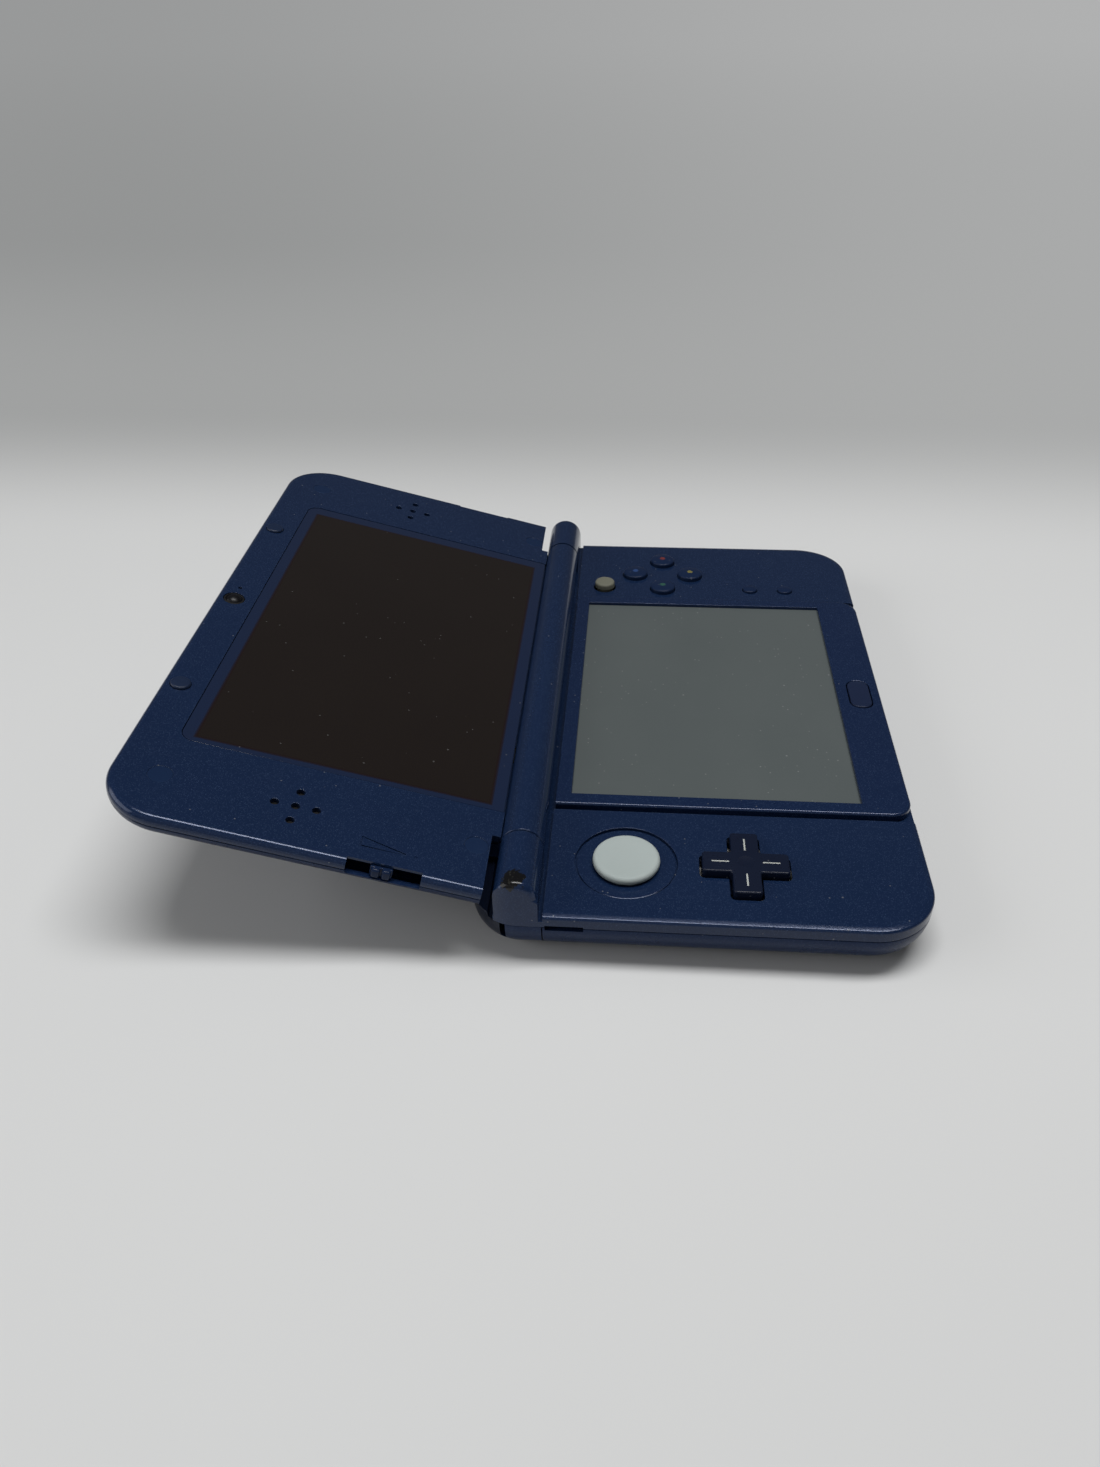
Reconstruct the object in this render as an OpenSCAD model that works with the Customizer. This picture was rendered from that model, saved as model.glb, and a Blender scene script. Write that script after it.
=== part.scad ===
// Clamshell handheld game console, standing open on a table.
// Millimetres, +Z up, +Y towards the hinge. The origin is the centre of the base on the table.

/* [Body] */
// Width of the closed console
body_w = 160; // [150:1:200]
// Depth of the closed console, front to back
body_d = 93.5; // [91:0.5:115]
// Height of the control deck above the table
deck_h = 12.5; // [12:0.1:15]
// Radius of the front corners seen from above
front_corner_r = 13.5; // [11:0.5:18]
// Radius of the rear corners seen from above
rear_corner_r = 10.2; // [10:0.1:12.5]
// Radius of the rounding from the side to the underside
bottom_r = 9.6; // [8:0.1:9.8]
// Radius of the rounding round the deck
deck_edge_r = 1.6; // [1:0.1:2.6]
// Wall of the bottom cover
cover_wall = 1.3; // [1:0.1:1.8]
// Wall of the lower case
case_wall = 1.1; // [0.9:0.1:1.5]
// Thickness of the deck
deck_t = 1.5; // [1.2:0.1:1.8]
// Gap between casing pieces that only lie beside each other
seam = 0.1; // [0.05:0.01:0.2]

/* [Hinge] */
// Distance of the hinge axis from the rear face
axis_inset = 9.75; // [9:0.05:12]
// Gap between the deck and the closed lid
lid_gap = 3.2; // [2.7:0.1:5]
// Radius of the hinge barrel and of the knuckles
barrel_r = 4.5; // [4:0.1:5]
// Length of the barrel that turns with the lid
barrel_len = 127.4; // [110:0.1:130]
// Gap between the barrel's end and each knuckle
barrel_end_gap = 0.4; // [0.3:0.1:0.8]
// Radius of the hinge pins
pin_r = 2.45; // [2:0.05:2.8]
// Running clearance round the hinge pins
pin_clear = 0.05; // [0.02:0.01:0.1]
// Length of a pin inside the barrel
pin_in = 11; // [8:0.5:14]
// Length of a pin inside the knuckle
pin_out = 11.5; // [8:0.5:12.5]
// Angle from closed to fully open, in degrees
open_angle = 165.8; // [120:0.1:166]

/* [Lid] */
// Thickness of the lid
lid_t = 5.8; // [5.5:0.1:7]
// Distance of the lid's inner face from the hinge axis
lid_face = 0.7; // [0.5:0.05:1]
// Radius of the lid's free corners
lid_corner_r = 13; // [10:0.5:16]
// Rounding of the lid's outer cover
lid_outer_r = 4.2; // [3:0.1:4.4]
// Rounding round the lid's inner face
lid_inner_r = 1.5; // [0.8:0.1:1.7]
// Depth of the lid's inner frame at its rim
frame_rim = 2.3; // [2:0.1:3]
// Wall of the lid's pieces
lid_wall = 1.1; // [0.9:0.1:1.3]
// Gap between the knuckles and the lid's edge beside them
lid_root_gap = 2; // [1:0.1:4]

/* [Screens] */
// Width of the upper picture
upper_w = 106.2; // [90:0.1:120]
// Height of the upper picture
upper_h = 63.7; // [50:0.1:68]
// Border of the lens between the hinge barrel and the upper picture
lens_near = 3.2; // [2:0.1:6]
// Width of the lens over the upper screen
lens_w = 111; // [96:0.5:124]
// Height of the lens
lens_h = 69.3; // [56:0.1:71]
// Thickness of the lens
lens_t = 0.8; // [0.6:0.1:1]
// Width of the lower picture
lower_w = 85; // [70:0.1:88]
// Height of the lower picture
lower_h = 63.8; // [50:0.1:64.5]
// Distance from the deck's rear edge to the lower picture
lower_back = 3.6; // [2.5:0.1:6]
// Width of the raised frame round the lower screen
bezel_w = 92.8; // [90:0.1:96]
// Height of the raised frame over the deck
bezel_rise = 1; // [0.6:0.1:1.2]
// Radius of the raised frame's front corners
bezel_corner_r = 5; // [3:0.5:8]

/* [Left controls] */
// Distance of the circle pad from the left side
pad_side = 16.8; // [15.5:0.1:18]
// Distance of the circle pad from the deck's rear edge
pad_back = 16.2; // [15.8:0.1:20]
// Radius of the circle pad's cap
pad_cap_r = 7; // [6:0.1:8]
// Radius of the ring round the circle pad
pad_ring_r = 10.55; // [10:0.05:11.5]
// Travel of the circle pad each way
pad_travel = 2.2; // [1.5:0.1:2.4]
// Distance of the cross pad from the left side
dpad_side = 16.5; // [15:0.1:18]
// Distance of the cross pad in front of the circle pad
dpad_gap = 24.5; // [23:0.1:29]
// Span of the cross pad
dpad_span = 17.8; // [15:0.1:20]
// Width of the cross pad's arms
dpad_arm = 5.8; // [5.5:0.1:8]
// Height of the cross pad over the deck
dpad_rise = 1.7; // [1:0.1:2.2]

/* [Right controls] */
// Distance of the four face buttons' middle from the right side
face_side = 19.1; // [17.5:0.1:20.5]
// Distance of the four face buttons' middle from the deck's rear edge
face_back = 24.4; // [22:0.1:30]
// Distance of each face button from their middle
face_pitch = 8; // [7:0.1:9]
// Radius of a face button
face_r = 3.5; // [3:0.1:4]
// Height of a face button over the deck
face_rise = 1.5; // [1:0.1:2]
// Distance of the pointing nub and the start and select buttons from the right side
small_side = 26.7; // [24:0.1:28]
// Distance of the pointing nub from the deck's rear edge
nub_back = 7.6; // [6.5:0.1:10]
// Radius of the pointing nub
nub_r = 2.8; // [2.2:0.1:3.2]
// Distance of the start button from the front
start_front = 28.8; // [24:0.1:34]
// Distance from the start button to the select button
select_pitch = 9.9; // [7:0.1:11]
// Radius of the start and select buttons
small_r = 2; // [1.5:0.1:2.4]
// Distance of the home button from the front
home_front = 5.4; // [5:0.05:5.8]
// Width of the home button
home_w = 12; // [9:0.5:14]
// Depth of the home button
home_d = 5.4; // [4:0.1:5.6]
// Distance of the power button from the right side
power_side = 22; // [20:0.5:26]
// Width of the power button
power_w = 9; // [7:0.5:9]

/* [Rear controls] */
// X where the shoulder button meets the trigger
shoulder_x = 53; // [50:0.5:56]
// X where the trigger meets the rear wall
trigger_x = 36.8; // [34:0.2:40]
// Top of the shoulder buttons and triggers
shoulder_top = 11; // [10.2:0.1:11]
// Underside of the shoulder buttons and triggers
shoulder_bottom = 4.5; // [4.2:0.1:5.5]
// Travel of a trigger
trigger_travel = 0.8; // [0.4:0.1:0.9]

/* [Sockets] */
// X of the card slot's centre
card_x = -35; // [-36:0.5:-34]
// Width of the card cavity
card_w = 33.6; // [30:0.1:34]
// Height of the card cavity
card_h = 4.15; // [4.1:0.05:4.2]
// Depth of the card cavity
card_l = 36; // [30:0.5:38]
// Radius of the headphone bore
jack_r = 1.75; // [1.5:0.05:1.8]
// Length of the headphone bore
jack_l = 14; // [10:0.5:16]
// X of the stylus
stylus_x = 24; // [23:0.5:25]
// Radius of the stylus
stylus_r = 2.2; // [1.8:0.1:2.3]
// Length of the stylus
stylus_l = 86; // [70:1:86]

/* [Lid details] */
// Distance of the speakers from the sides
speaker_side = 12.2; // [10:0.1:14]
// Distance from the axis to the speakers
speaker_v = 46.4; // [40:0.1:52]
// Distance of the outer speaker holes from the middle one
speaker_pitch = 4.26; // [3.5:0.02:4.5]
// Radius of a speaker hole
speaker_hole_r = 0.9; // [0.6:0.05:1.2]
// Distance of the camera from the lid's free edge
camera_edge = 4.3; // [4:0.1:5.5]
// Radius of the camera lens
camera_r = 2.5; // [2:0.1:2.6]
// X of the bumpers
bumper_x = 37.9; // [30:0.1:45]
// Radius of a bumper
bumper_r = 2.2; // [1.6:0.1:2.6]
// Distance of the screw covers from the sides
screw_side = 12.6; // [12:0.1:13]
// Distance of the far screw covers from the lid's free edge
screw_edge = 10; // [8:0.1:14]
// Radius of a screw cover
screw_cover_r = 2.4; // [1.9:0.1:2.5]
// Distance from the axis to the slider slots' near end
slot_v = 18.6; // [16:0.1:22]
// Length of the slider slots
slot_l = 14.9; // [12:0.1:18]
// Length of a slider knob
knob_l = 4.5; // [3.5:0.1:6]
// Distance from the slot's near end to the volume knob
volume_at = 5.7; // [1:0.1:9]
// Distance from the slot's near end to the depth knob
depth_at = 1; // [0.4:0.1:9]

/* [Hidden] */
$fn = 64;

paint = "midnightblue";
dark = [0.08, 0.08, 0.09];
grey = "gray";
steel = "silver";

eps = 0.01;
far = 200;

front_y = -body_d / 2;
rear_y = body_d / 2;
axis_y = rear_y - axis_inset;
// The side rounding ends at the parting line between the upper and lower halves
split_z = bottom_r;
deck_under = deck_h - deck_t;
groove = 0.9;
deck_back = axis_y - barrel_r - groove;
axis_h = deck_h + lid_gap + lid_face;
lid_back = lid_face - lid_t;
lid_neck = 2;
// Rear ledge under the lid, and the trough that the lid's root turns in
ledge_z = split_z + 1.6;
trough_r = max(barrel_r + 0.6, norm([lid_neck, lid_back]) + 0.45);
knuckle_in = barrel_len / 2 + barrel_end_gap;
// The cover ends below the deck's rear edge, and the case fills the corner behind it
cover_back = deck_back + 0.2;
tray_inset = cover_wall + 0.25;
room_inset = tray_inset + case_wall;
// Exposed part of the lower case along the front edge
front_bay_half = body_w / 2 - front_corner_r - 0.5;
front_bay_z = 3.1;
front_bay_d = 4.6;

// Shoulder pocket: front wall at the knuckle above the parting line, and further forward below it
pocket_back = axis_y + barrel_r + 0.15;
pocket_low = axis_y + 2.2;
pocket_floor = shoulder_bottom - 0.3;
pocket_gap = 1.1;
pocket_x = trigger_x - 0.4;
shoulder_pin_x = shoulder_x + 3.5;
shoulder_pin_y = rear_y - 3.5;
shoulder_pin_r = 0.8;

lid_reach = body_d - axis_inset;
lid_root = barrel_r + lid_root_gap;
lid_split = lid_face - frame_rim;
frame_floor = lid_face - lid_wall;
cover_floor = lid_back + lid_wall;

// Positions of the controls
pad_x = pad_side - body_w / 2;
pad_y = deck_back - pad_back;
dpad_x = dpad_side - body_w / 2;
dpad_y = pad_y - dpad_gap;
face_x = body_w / 2 - face_side;
face_y = deck_back - face_back;
small_x = body_w / 2 - small_side;
nub_y = deck_back - nub_back;
start_y = front_y + start_front;
select_y = start_y - select_pitch;
home_y = front_y + home_front;
power_x = body_w / 2 - power_side;
power_travel = 0.5;

// Stack under the keys: board, rubber mat, key flange
board_top = deck_h - 3.8;
board_t = 0.8;
mat_t = 0.3;
dome_t = 0.25;
flange_t = 0.6;
flange_top = deck_under - 0.2;
key_gap = 0.25;

// Stack of the lower screen
shelf_z = deck_h - 0.9;
glass_top = deck_h + 0.05;
touch_t = 0.9;
lower_t = 1.95;
lower_y = deck_back - lower_back - lower_h / 2;

// Positions on the lid, as distances from the axis
lens_v = barrel_r + 0.4;
upper_v = lens_v + lens_near;
speaker_x = body_w / 2 - speaker_side;
camera_v = lid_reach - camera_edge;
screw_x = body_w / 2 - screw_side;
screw_near_v = lid_root + screw_cover_r + 0.4;
screw_far_v = lid_reach - screw_edge;
upper_t = 2;

// Heights of the sockets in the front and rear edges
card_z = 3.4;
card_floor = 0.65;
card_front = front_y + 8.9;
jack_z = 5.9;
stylus_z = 5.6;
power_z = 6.6;
power_h = 2.6;
port_z = 6.2;

// Screws of the bottom cover, and the four corner screws of the case: [x, y]
cover_screw_xy = [44, deck_back - 5.6];
boss_r = 2;
boss_z = 6.5;
case_screw_xy = [
    [10 - body_w / 2, deck_back - 2.1], [body_w / 2 - 10, deck_back - 2.1],
    [7.5 - body_w / 2, front_y + 13.5], [body_w / 2 - 7.5, front_y + 13.5]
];

// ---------- shared shapes ----------

// Area beside an edge of radius r that the rounding takes away; up is 1 for a lower edge, -1 for an upper one
module edge_cut(len, z, r, up) {
    difference() {
        translate([len - r, up > 0 ? z - 1 : z - r]) square([r + 1, r + 1]);
        translate([len - r, z + up * r]) circle(r);
    }
}

// Section from the middle out to a rounded side: z0 to z1, lower radius rb, upper radius rt
module edge_profile(len, z0, z1, rb, rt) {
    difference() {
        translate([0, z0]) square([len, z1 - z0]);
        if (rb > 0) edge_cut(len, z0, rb, 1);
        if (rt > 0) edge_cut(len, z1, rt, -1);
    }
}

// End of a slab towards +Y, with its two corners
module slab_end(w, r, z0, z1, rb, rt) {
    rotate([90, 0, 90]) translate([0, 0, r - w / 2])
        linear_extrude(w - 2 * r) edge_profile(r, z0, z1, rb, rt);
    for (s = [0, 1]) mirror([s, 0, 0]) translate([w / 2 - r, 0, 0])
        rotate_extrude(angle = 90) edge_profile(r, z0, z1, rb, rt);
}

// Slab from y0 to y1 with corner radii r0 and r1 and rounded lower and upper edges
module slab(w, y0, y1, r0, r1, z0, z1, rb, rt) {
    translate([0, y1 - r1, 0]) rotate([90, 0, 0]) linear_extrude(y1 - r1 - y0 - r0) {
        edge_profile(w / 2, z0, z1, rb, rt);
        mirror([1, 0]) edge_profile(w / 2, z0, z1, rb, rt);
    }
    translate([0, y1 - r1, 0]) slab_end(w, r1, z0, z1, rb, rt);
    translate([0, y0 + r0, 0]) mirror([0, 1, 0]) slab_end(w, r0, z0, z1, rb, rt);
}

// Lower half of the base's outer form, set in by a wall, from z0 to z1
module base_form(inset, z1) {
    slab(body_w - 2 * inset, front_y + inset, rear_y - inset, front_corner_r - inset,
        rear_corner_r - inset, inset, z1, bottom_r - inset, 0);
}

// Plain column over the base's outline, from z0 to z1
module base_column(inset, z0, z1) {
    slab(body_w - 2 * inset, front_y + inset, rear_y - inset, front_corner_r - inset,
        rear_corner_r - inset, z0, z1, 0, 0);
}

// Box given by its two corners
module span(a, b) {
    translate(a) cube(b - a);
}

// Everything between two values of Y
module y_band(y0, y1) {
    span([-far, y0, -far], [far, y1, far]);
}

// Rounded rectangle centred on the origin
module round_rect(w, d, r) {
    square([w - 2 * r, d], center = true);
    square([w, d - 2 * r], center = true);
    for (x = [-1, 1], y = [-1, 1]) translate([x * (w / 2 - r), y * (d / 2 - r)]) circle(r);
}

// Rounded bar along X
module bar_x(x0, x1, r) {
    translate([x0, 0, 0]) rotate([0, 90, 0]) cylinder(h = x1 - x0, r = r);
}

// Puts a shape drawn with the hinge axis at the origin, y along the lid and z out of its screen, in place
module on_lid() {
    translate([0, axis_y, axis_h]) rotate([180 - open_angle, 0, 0]) children();
}

// Left and right copies
module both_sides() {
    for (s = [0, 1]) mirror([s, 0, 0]) children();
}

// Key with a flange that holds it under the deck: radius r, top at z1
module round_key(x, y, r, z1) {
    translate([x, y, 0]) {
        translate([0, 0, flange_top - flange_t]) cylinder(h = flange_t, r = r + 0.6);
        translate([0, 0, flange_top - eps]) cylinder(h = z1 - 0.4 - flange_top + eps, r = r);
        translate([0, 0, z1 - 0.4 - eps]) cylinder(h = 0.4 + eps, r1 = r, r2 = r - 0.5);
    }
}

// Cross of a given span and arm width
module cross_shape(size, arm) {
    round_rect(size, arm, 0.8);
    round_rect(arm, size, 0.8);
}

// Screw pointing up, with the slotless face of its head at z0
module screw_up(x, y, z0, head_t, len, head_r, shank_r) {
    translate([x, y, z0]) {
        cylinder(h = head_t, r = head_r);
        translate([0, 0, head_t - eps]) cylinder(h = len, r = shank_r);
    }
}

// ---------- base casing ----------

// Fixed knuckle beside the hinge barrel, on the right
module knuckle() {
    intersection() {
        union() {
            translate([0, axis_y, axis_h]) {
                bar_x(knuckle_in, body_w / 2 - 1.8, barrel_r);
                translate([body_w / 2 - 1.8 - eps, 0, 0]) rotate([0, 90, 0])
                    cylinder(h = 1.8 + eps, r1 = barrel_r, r2 = barrel_r - 1.7);
            }
            span([knuckle_in, axis_y - barrel_r, split_z + seam], [body_w / 2, axis_y + barrel_r, axis_h]);
        }
        base_column(0, split_z, axis_h + 2 * barrel_r);
    }
}

// Space behind the case for a shoulder button and trigger, on the right
module shoulder_pocket() {
    span([pocket_x, pocket_back, split_z - eps], [far, far, far]);
    span([pocket_x, pocket_low, pocket_floor], [far, far, split_z + eps]);
}

module base_upper_case() {
    color(paint) difference() {
        union() {
            intersection() {
                base_deck_form();
                y_band(front_y - 1, deck_back);
            }
            intersection() {
                base_column(0, split_z + seam, ledge_z);
                y_band(deck_back - 1, rear_y + 1);
            }
            both_sides() knuckle();
            for (p = case_screw_xy) translate([p.x, p.y, boss_z + 0.1])
                cylinder(h = deck_under - boss_z, r = boss_r);
        }
        difference() {
            intersection() {
                base_column(cover_wall, 0, deck_under);
                y_band(front_y, deck_back - 1.2);
            }
            for (p = case_screw_xy) translate([p.x, p.y, 0]) cylinder(h = deck_under, r = boss_r);
        }
        for (p = case_screw_xy) translate([p.x, p.y, boss_z - 1]) cylinder(h = 3.5, r = 0.85);
        translate([0, axis_y, axis_h]) bar_x(-knuckle_in, knuckle_in, trough_r);
        both_sides() {
            shoulder_pocket();
            translate([0, axis_y, axis_h])
                bar_x(knuckle_in - 1, knuckle_in + pin_out + 0.3, pin_r + pin_clear);
        }
        // seat and window of the raised frame
        span([-bezel_w / 2 - seam, front_y - 1, shelf_z], [bezel_w / 2 + seam, deck_back + 1, far]);
        span([-lower_w / 2 - 0.7, lower_y - lower_h / 2 - 0.7, 0],
            [lower_w / 2 + 0.7, lower_y + lower_h / 2 + 0.7, far]);
        // holes of the controls
        translate([pad_x, pad_y, 0]) {
            cylinder(h = far, r = pad_ring_r + 0.15);
            cylinder(h = deck_under + 0.9, r = pad_ring_r + 0.8);
        }
        translate([dpad_x, dpad_y, 0]) linear_extrude(far) cross_shape(dpad_span + 1, dpad_arm + 1);
        face_places() cylinder(h = far, r = face_r + key_gap);
        translate([small_x, nub_y, 0]) cylinder(h = far, r = nub_r + 0.35);
        translate([small_x, start_y, 0]) cylinder(h = far, r = small_r + key_gap);
        translate([small_x, select_y, 0]) cylinder(h = far, r = small_r + key_gap);
        translate([0, home_y, 0]) linear_extrude(far)
            round_rect(home_w + 2 * key_gap, home_d + 2 * key_gap, home_d / 2 - 0.2);
    }
}

// Deck with its rounded edge, before its rear is cut off
module base_deck_form() {
    slab(body_w, front_y, rear_y, front_corner_r, rear_corner_r, split_z + seam, deck_h, 0, deck_edge_r);
}

// Puts a shape at each face button
module face_places() {
    for (a = [0:90:270])
        translate([face_x + face_pitch * cos(a), face_y + face_pitch * sin(a), 0]) children();
}

module touch_bezel() {
    top = deck_h + bezel_rise;
    color(paint) difference() {
        union() {
            intersection() {
                slab(bezel_w, front_y + 0.3, deck_back + 8, bezel_corner_r, 6, shelf_z, top, 0, 0.8);
                y_band(front_y, deck_back - 0.25);
                // the front corners follow the case below the deck's rounding
                base_column(0.3, 0, far);
            }
        }
        span([-lower_w / 2, lower_y - lower_h / 2, 0], [lower_w / 2, lower_y + lower_h / 2, far]);
        span([-lower_w / 2 - 1.8, lower_y - lower_h / 2 - 1.5, 0],
            [lower_w / 2 + 1.8, lower_y + lower_h / 2 + 1.5, glass_top + 0.05]);
        translate([0, home_y, 0]) linear_extrude(far)
            round_rect(home_w + 2 * key_gap, home_d + 2 * key_gap, home_d / 2 - 0.2);
    }
}

// Solid part of the lower case before it is hollowed
module lower_case_form() {
    intersection() {
        base_form(tray_inset, split_z);
        y_band(front_y, cover_back + 2);
    }
    intersection() {
        base_form(0, split_z);
        y_band(cover_back + seam, rear_y + 1);
    }
    intersection() {
        base_form(0, split_z);
        span([-front_bay_half, front_y - 1, front_bay_z], [front_bay_half, front_y + front_bay_d, split_z]);
    }
}

module base_lower_case() {
    color(paint) difference() {
        union() {
            difference() {
                lower_case_form();
                difference() {
                    base_form(room_inset, split_z + 1);
                    both_sides() span([pocket_x - 1.2, pocket_low - 1.3, -1], [far, far, far]);
                    // bosses, stylus rails and the wall behind the power button
                    for (p = case_screw_xy) translate([p.x, p.y, 0]) cylinder(h = boss_z, r = boss_r + 0.6);
                    both_sides() translate([cover_screw_xy.x, cover_screw_xy.y, 0])
                        cylinder(h = 6.5, r = 2.4);
                    for (s = [-1, 1]) translate([stylus_x + s * (stylus_r + 1.1) - 0.5, front_y + 6, 0])
                        cube([1, 66, stylus_z + 1.5]);
                }
                both_sides() shoulder_pocket();
            }
        }
        translate([0, axis_y, axis_h]) bar_x(-knuckle_in, knuckle_in, trough_r);
        for (p = case_screw_xy) translate([p.x, p.y, 0]) {
            cylinder(h = boss_z + 1, r = 1.1);
            cylinder(h = 3.6, r = 2.1);
        }
        both_sides() {
            translate([cover_screw_xy.x, cover_screw_xy.y, 0]) cylinder(h = 6, r = 1.1);
            translate([shoulder_pin_x, shoulder_pin_y, pocket_floor - 0.9])
                cylinder(h = 3, r = shoulder_pin_r);
        }
        // card slot, headphone socket, stylus and power button in the front edge
        span([card_x - card_w / 2, front_y - 1, card_z], [card_x + card_w / 2, card_front, card_z + card_h]);
        translate([0, front_y - 1, jack_z]) rotate([-90, 0, 0]) {
            cylinder(h = 3.8, r = jack_r + 1.25);
            cylinder(h = 10, r = jack_r + 0.85);
        }
        translate([stylus_x, front_y - 1, stylus_z]) rotate([-90, 0, 0]) cylinder(h = 10, r = stylus_r + 0.2);
        translate([power_x, front_y - 1, power_z]) rotate([-90, 0, 0])
            linear_extrude(7) round_rect(power_w + 0.5, power_h + 0.5, 1.2);
        light_places() translate([0, 0, -1]) cylinder(h = 8, r = 0.75);
        // charging socket and infrared window in the rear wall
        span([-5.2, rear_y - 6, port_z - 1.7], [5.2, rear_y + 1, port_z + 1.7]);
        span([-26.1, rear_y - 3, port_z - 2.1], [-15.9, rear_y + 1, port_z + 2.1]);
    }
}

// Puts a shape at each status light, pointing into the case
module light_places() {
    for (x = [44, 47.5]) translate([x, front_y - 0.2, power_z]) rotate([-90, 0, 0]) children();
}

module bottom_cover() {
    color(paint) difference() {
        intersection() {
            base_form(0, split_z - seam);
            y_band(front_y - 1, cover_back);
        }
        base_form(cover_wall, split_z + 1);
        span([-front_bay_half - seam, front_y - 1, front_bay_z - seam],
            [front_bay_half + seam, front_y + front_bay_d + seam, split_z]);
        // notches to lift the cover by, at its rear corners
        both_sides()
            span([body_w / 2 - 3, cover_back - 8.3, split_z - 0.9], [body_w, cover_back - 0.6, split_z]);
        both_sides() translate([cover_screw_xy.x, cover_screw_xy.y, -1]) {
            cylinder(h = 6, r = 1.25);
            cylinder(h = 1.9, r = 2.5);
        }
    }
}

module cover_screws() {
    color(steel) both_sides() screw_up(cover_screw_xy.x, cover_screw_xy.y, 0.15, 0.7, 4.9, 2.2, 1);
}

module case_screws() {
    color(steel) for (p = case_screw_xy) screw_up(p.x, p.y, 2.7, 0.85, boss_z - 1.2, 1.8, 0.8);
}

// ---------- screens and boards in the base ----------

module touch_panel() {
    color([0.33, 0.36, 0.36]) span([-lower_w / 2 - 1.6, lower_y - lower_h / 2 - 1.3, glass_top - touch_t],
        [lower_w / 2 + 1.6, lower_y + lower_h / 2 + 1.3, glass_top]);
}

module lower_display() {
    color(grey) span([-lower_w / 2 - 0.4, lower_y - lower_h / 2 - 0.4, glass_top - touch_t - lower_t],
        [lower_w / 2 + 0.4, lower_y + lower_h / 2 + 0.4, glass_top - touch_t]);
}

module main_board() {
    under = board_top - board_t;
    color("darkgreen") {
        translate([0, 0, under]) linear_extrude(board_t) difference() {
            union() {
                translate([-body_w / 2 + 33, front_y + 8.8])
                    square([body_w - 45, deck_back - front_y - 13.4]);
                translate([-body_w / 2 + 6, dpad_y - 12]) square([28, 21.5]);
                translate([-13, front_y + front_bay_d + 0.2]) square([26, 5]);
                translate([-12, deck_back - 6]) square([24, 12]);
            }
            translate([-jack_r - 1.2, front_y]) square([2 * jack_r + 2.4, jack_l + 1.6]);
        }
        // switch behind the power button
        span([power_x - 3, front_y + front_bay_d + 2.85, power_z - 1],
            [power_x + 3, front_y + 11, under + eps]);
    }
}

module battery() {
    color("dimgray") translate([48.8, (front_y + deck_back) / 2 - 0.5, room_inset + 0.1])
        linear_extrude(4.8) round_rect(40, 52, 2);
}

module card_slot() {
    color(steel) difference() {
        span([card_x - card_w / 2 - 0.8, card_front + 0.05, card_z - card_floor],
            [card_x + card_w / 2 + 0.8, front_y + card_l + 0.8, board_top - board_t]);
        span([card_x - card_w / 2, front_y, card_z],
            [card_x + card_w / 2, front_y + card_l, card_z + card_h]);
    }
}

module memory_card_socket() {
    color(steel) translate([dpad_x + 4, dpad_y - 16, room_inset + 0.1]) difference() {
        span([-6.5, -8, 0], [6.5, 8, 1.9]);
        span([-5.7, -9, 0.5], [5.7, 7, 1.4]);
    }
}

module charging_socket() {
    color(dark) difference() {
        span([-5, rear_y - 10, port_z - 1.6], [5, rear_y - 0.75, port_z + 1.6]);
        span([-4.2, rear_y - 6, port_z - 1.1], [4.2, rear_y, port_z + 1.1]);
    }
    color("gold") span([-3, rear_y - 6.05, port_z - 0.3], [3, rear_y - 2.2, port_z + 0.3]);
}

module headphone_socket() {
    color(dark) translate([0, front_y + 0.6, jack_z]) rotate([-90, 0, 0]) difference() {
        union() {
            cylinder(h = 2.1, r = jack_r + 1.1);
            cylinder(h = jack_l + 0.8, r = jack_r + 0.75);
        }
        translate([0, 0, -1]) cylinder(h = jack_l + 1, r = jack_r);
    }
}

module wireless_module() {
    color("darkgreen") translate([dpad_x + 0.5, dpad_y - 3, board_top - board_t - 2.2])
        linear_extrude(2.2) square([17, 15], center = true);
}

module infrared_window() {
    color(dark) intersection() {
        span([-26, rear_y - 2.7, port_z - 2], [-16, rear_y + 1, port_z + 2]);
        base_form(0.15, split_z);
    }
}

module status_lights() {
    color("lightgreen") light_places() translate([0, 0, 0.6]) cylinder(h = 4.5, r = 0.7);
}

// ---------- circle pad and cross pad ----------

housing_top = deck_h - 2.5;
housing_z = deck_h - 6.6;
housing_w = 22;
housing_wall = 1.2;
carriage_z = housing_z + 1.3;
carriage_t = 1.4;

module circle_pad_ring() {
    color(paint) translate([pad_x, pad_y, 0]) rotate_extrude() polygon([
        [6.4, deck_under + 0.1], [pad_ring_r + 0.7, deck_under + 0.1], [pad_ring_r + 0.7, deck_under + 0.8],
        [pad_ring_r - 0.2, deck_under + 0.8], [pad_ring_r - 0.2, deck_h - 0.35], [6.4, deck_h - 0.45]
    ]);
}

module circle_pad_housing() {
    half = housing_w / 2;
    room = half - housing_wall;
    color(dark) translate([pad_x, pad_y, 0]) {
        difference() {
            span([-half, -half, housing_z], [half, half, housing_top]);
            span([-room, -room, housing_z + 1], [room, room, far]);
        }
        // ears up to the underside of the deck
        for (x = [-1, 1], y = [-1, 1]) translate([x * (half + 1), y * 9, (housing_z + deck_under) / 2 + 1])
            cube([2 + 2 * eps, 4, deck_under - housing_z - 2.1], center = true);
    }
}

module circle_pad_carriage() {
    room = housing_w / 2 - housing_wall;
    x = room - pad_travel - 0.3;
    y = room - 0.3;
    color("white") translate([pad_x, pad_y, 0]) {
        span([-x, -y, carriage_z], [x, y, carriage_z + carriage_t]);
        // rails that guide the cap's foot
        for (s = [-1, 1]) translate([s * (x - 0.6), 0, carriage_z + carriage_t + 0.4])
            cube([1.2, 2 * y, 0.82], center = true);
    }
}

// Underside of the plate below the pad's cap
pad_plate_z = deck_under - 0.7;

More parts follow.
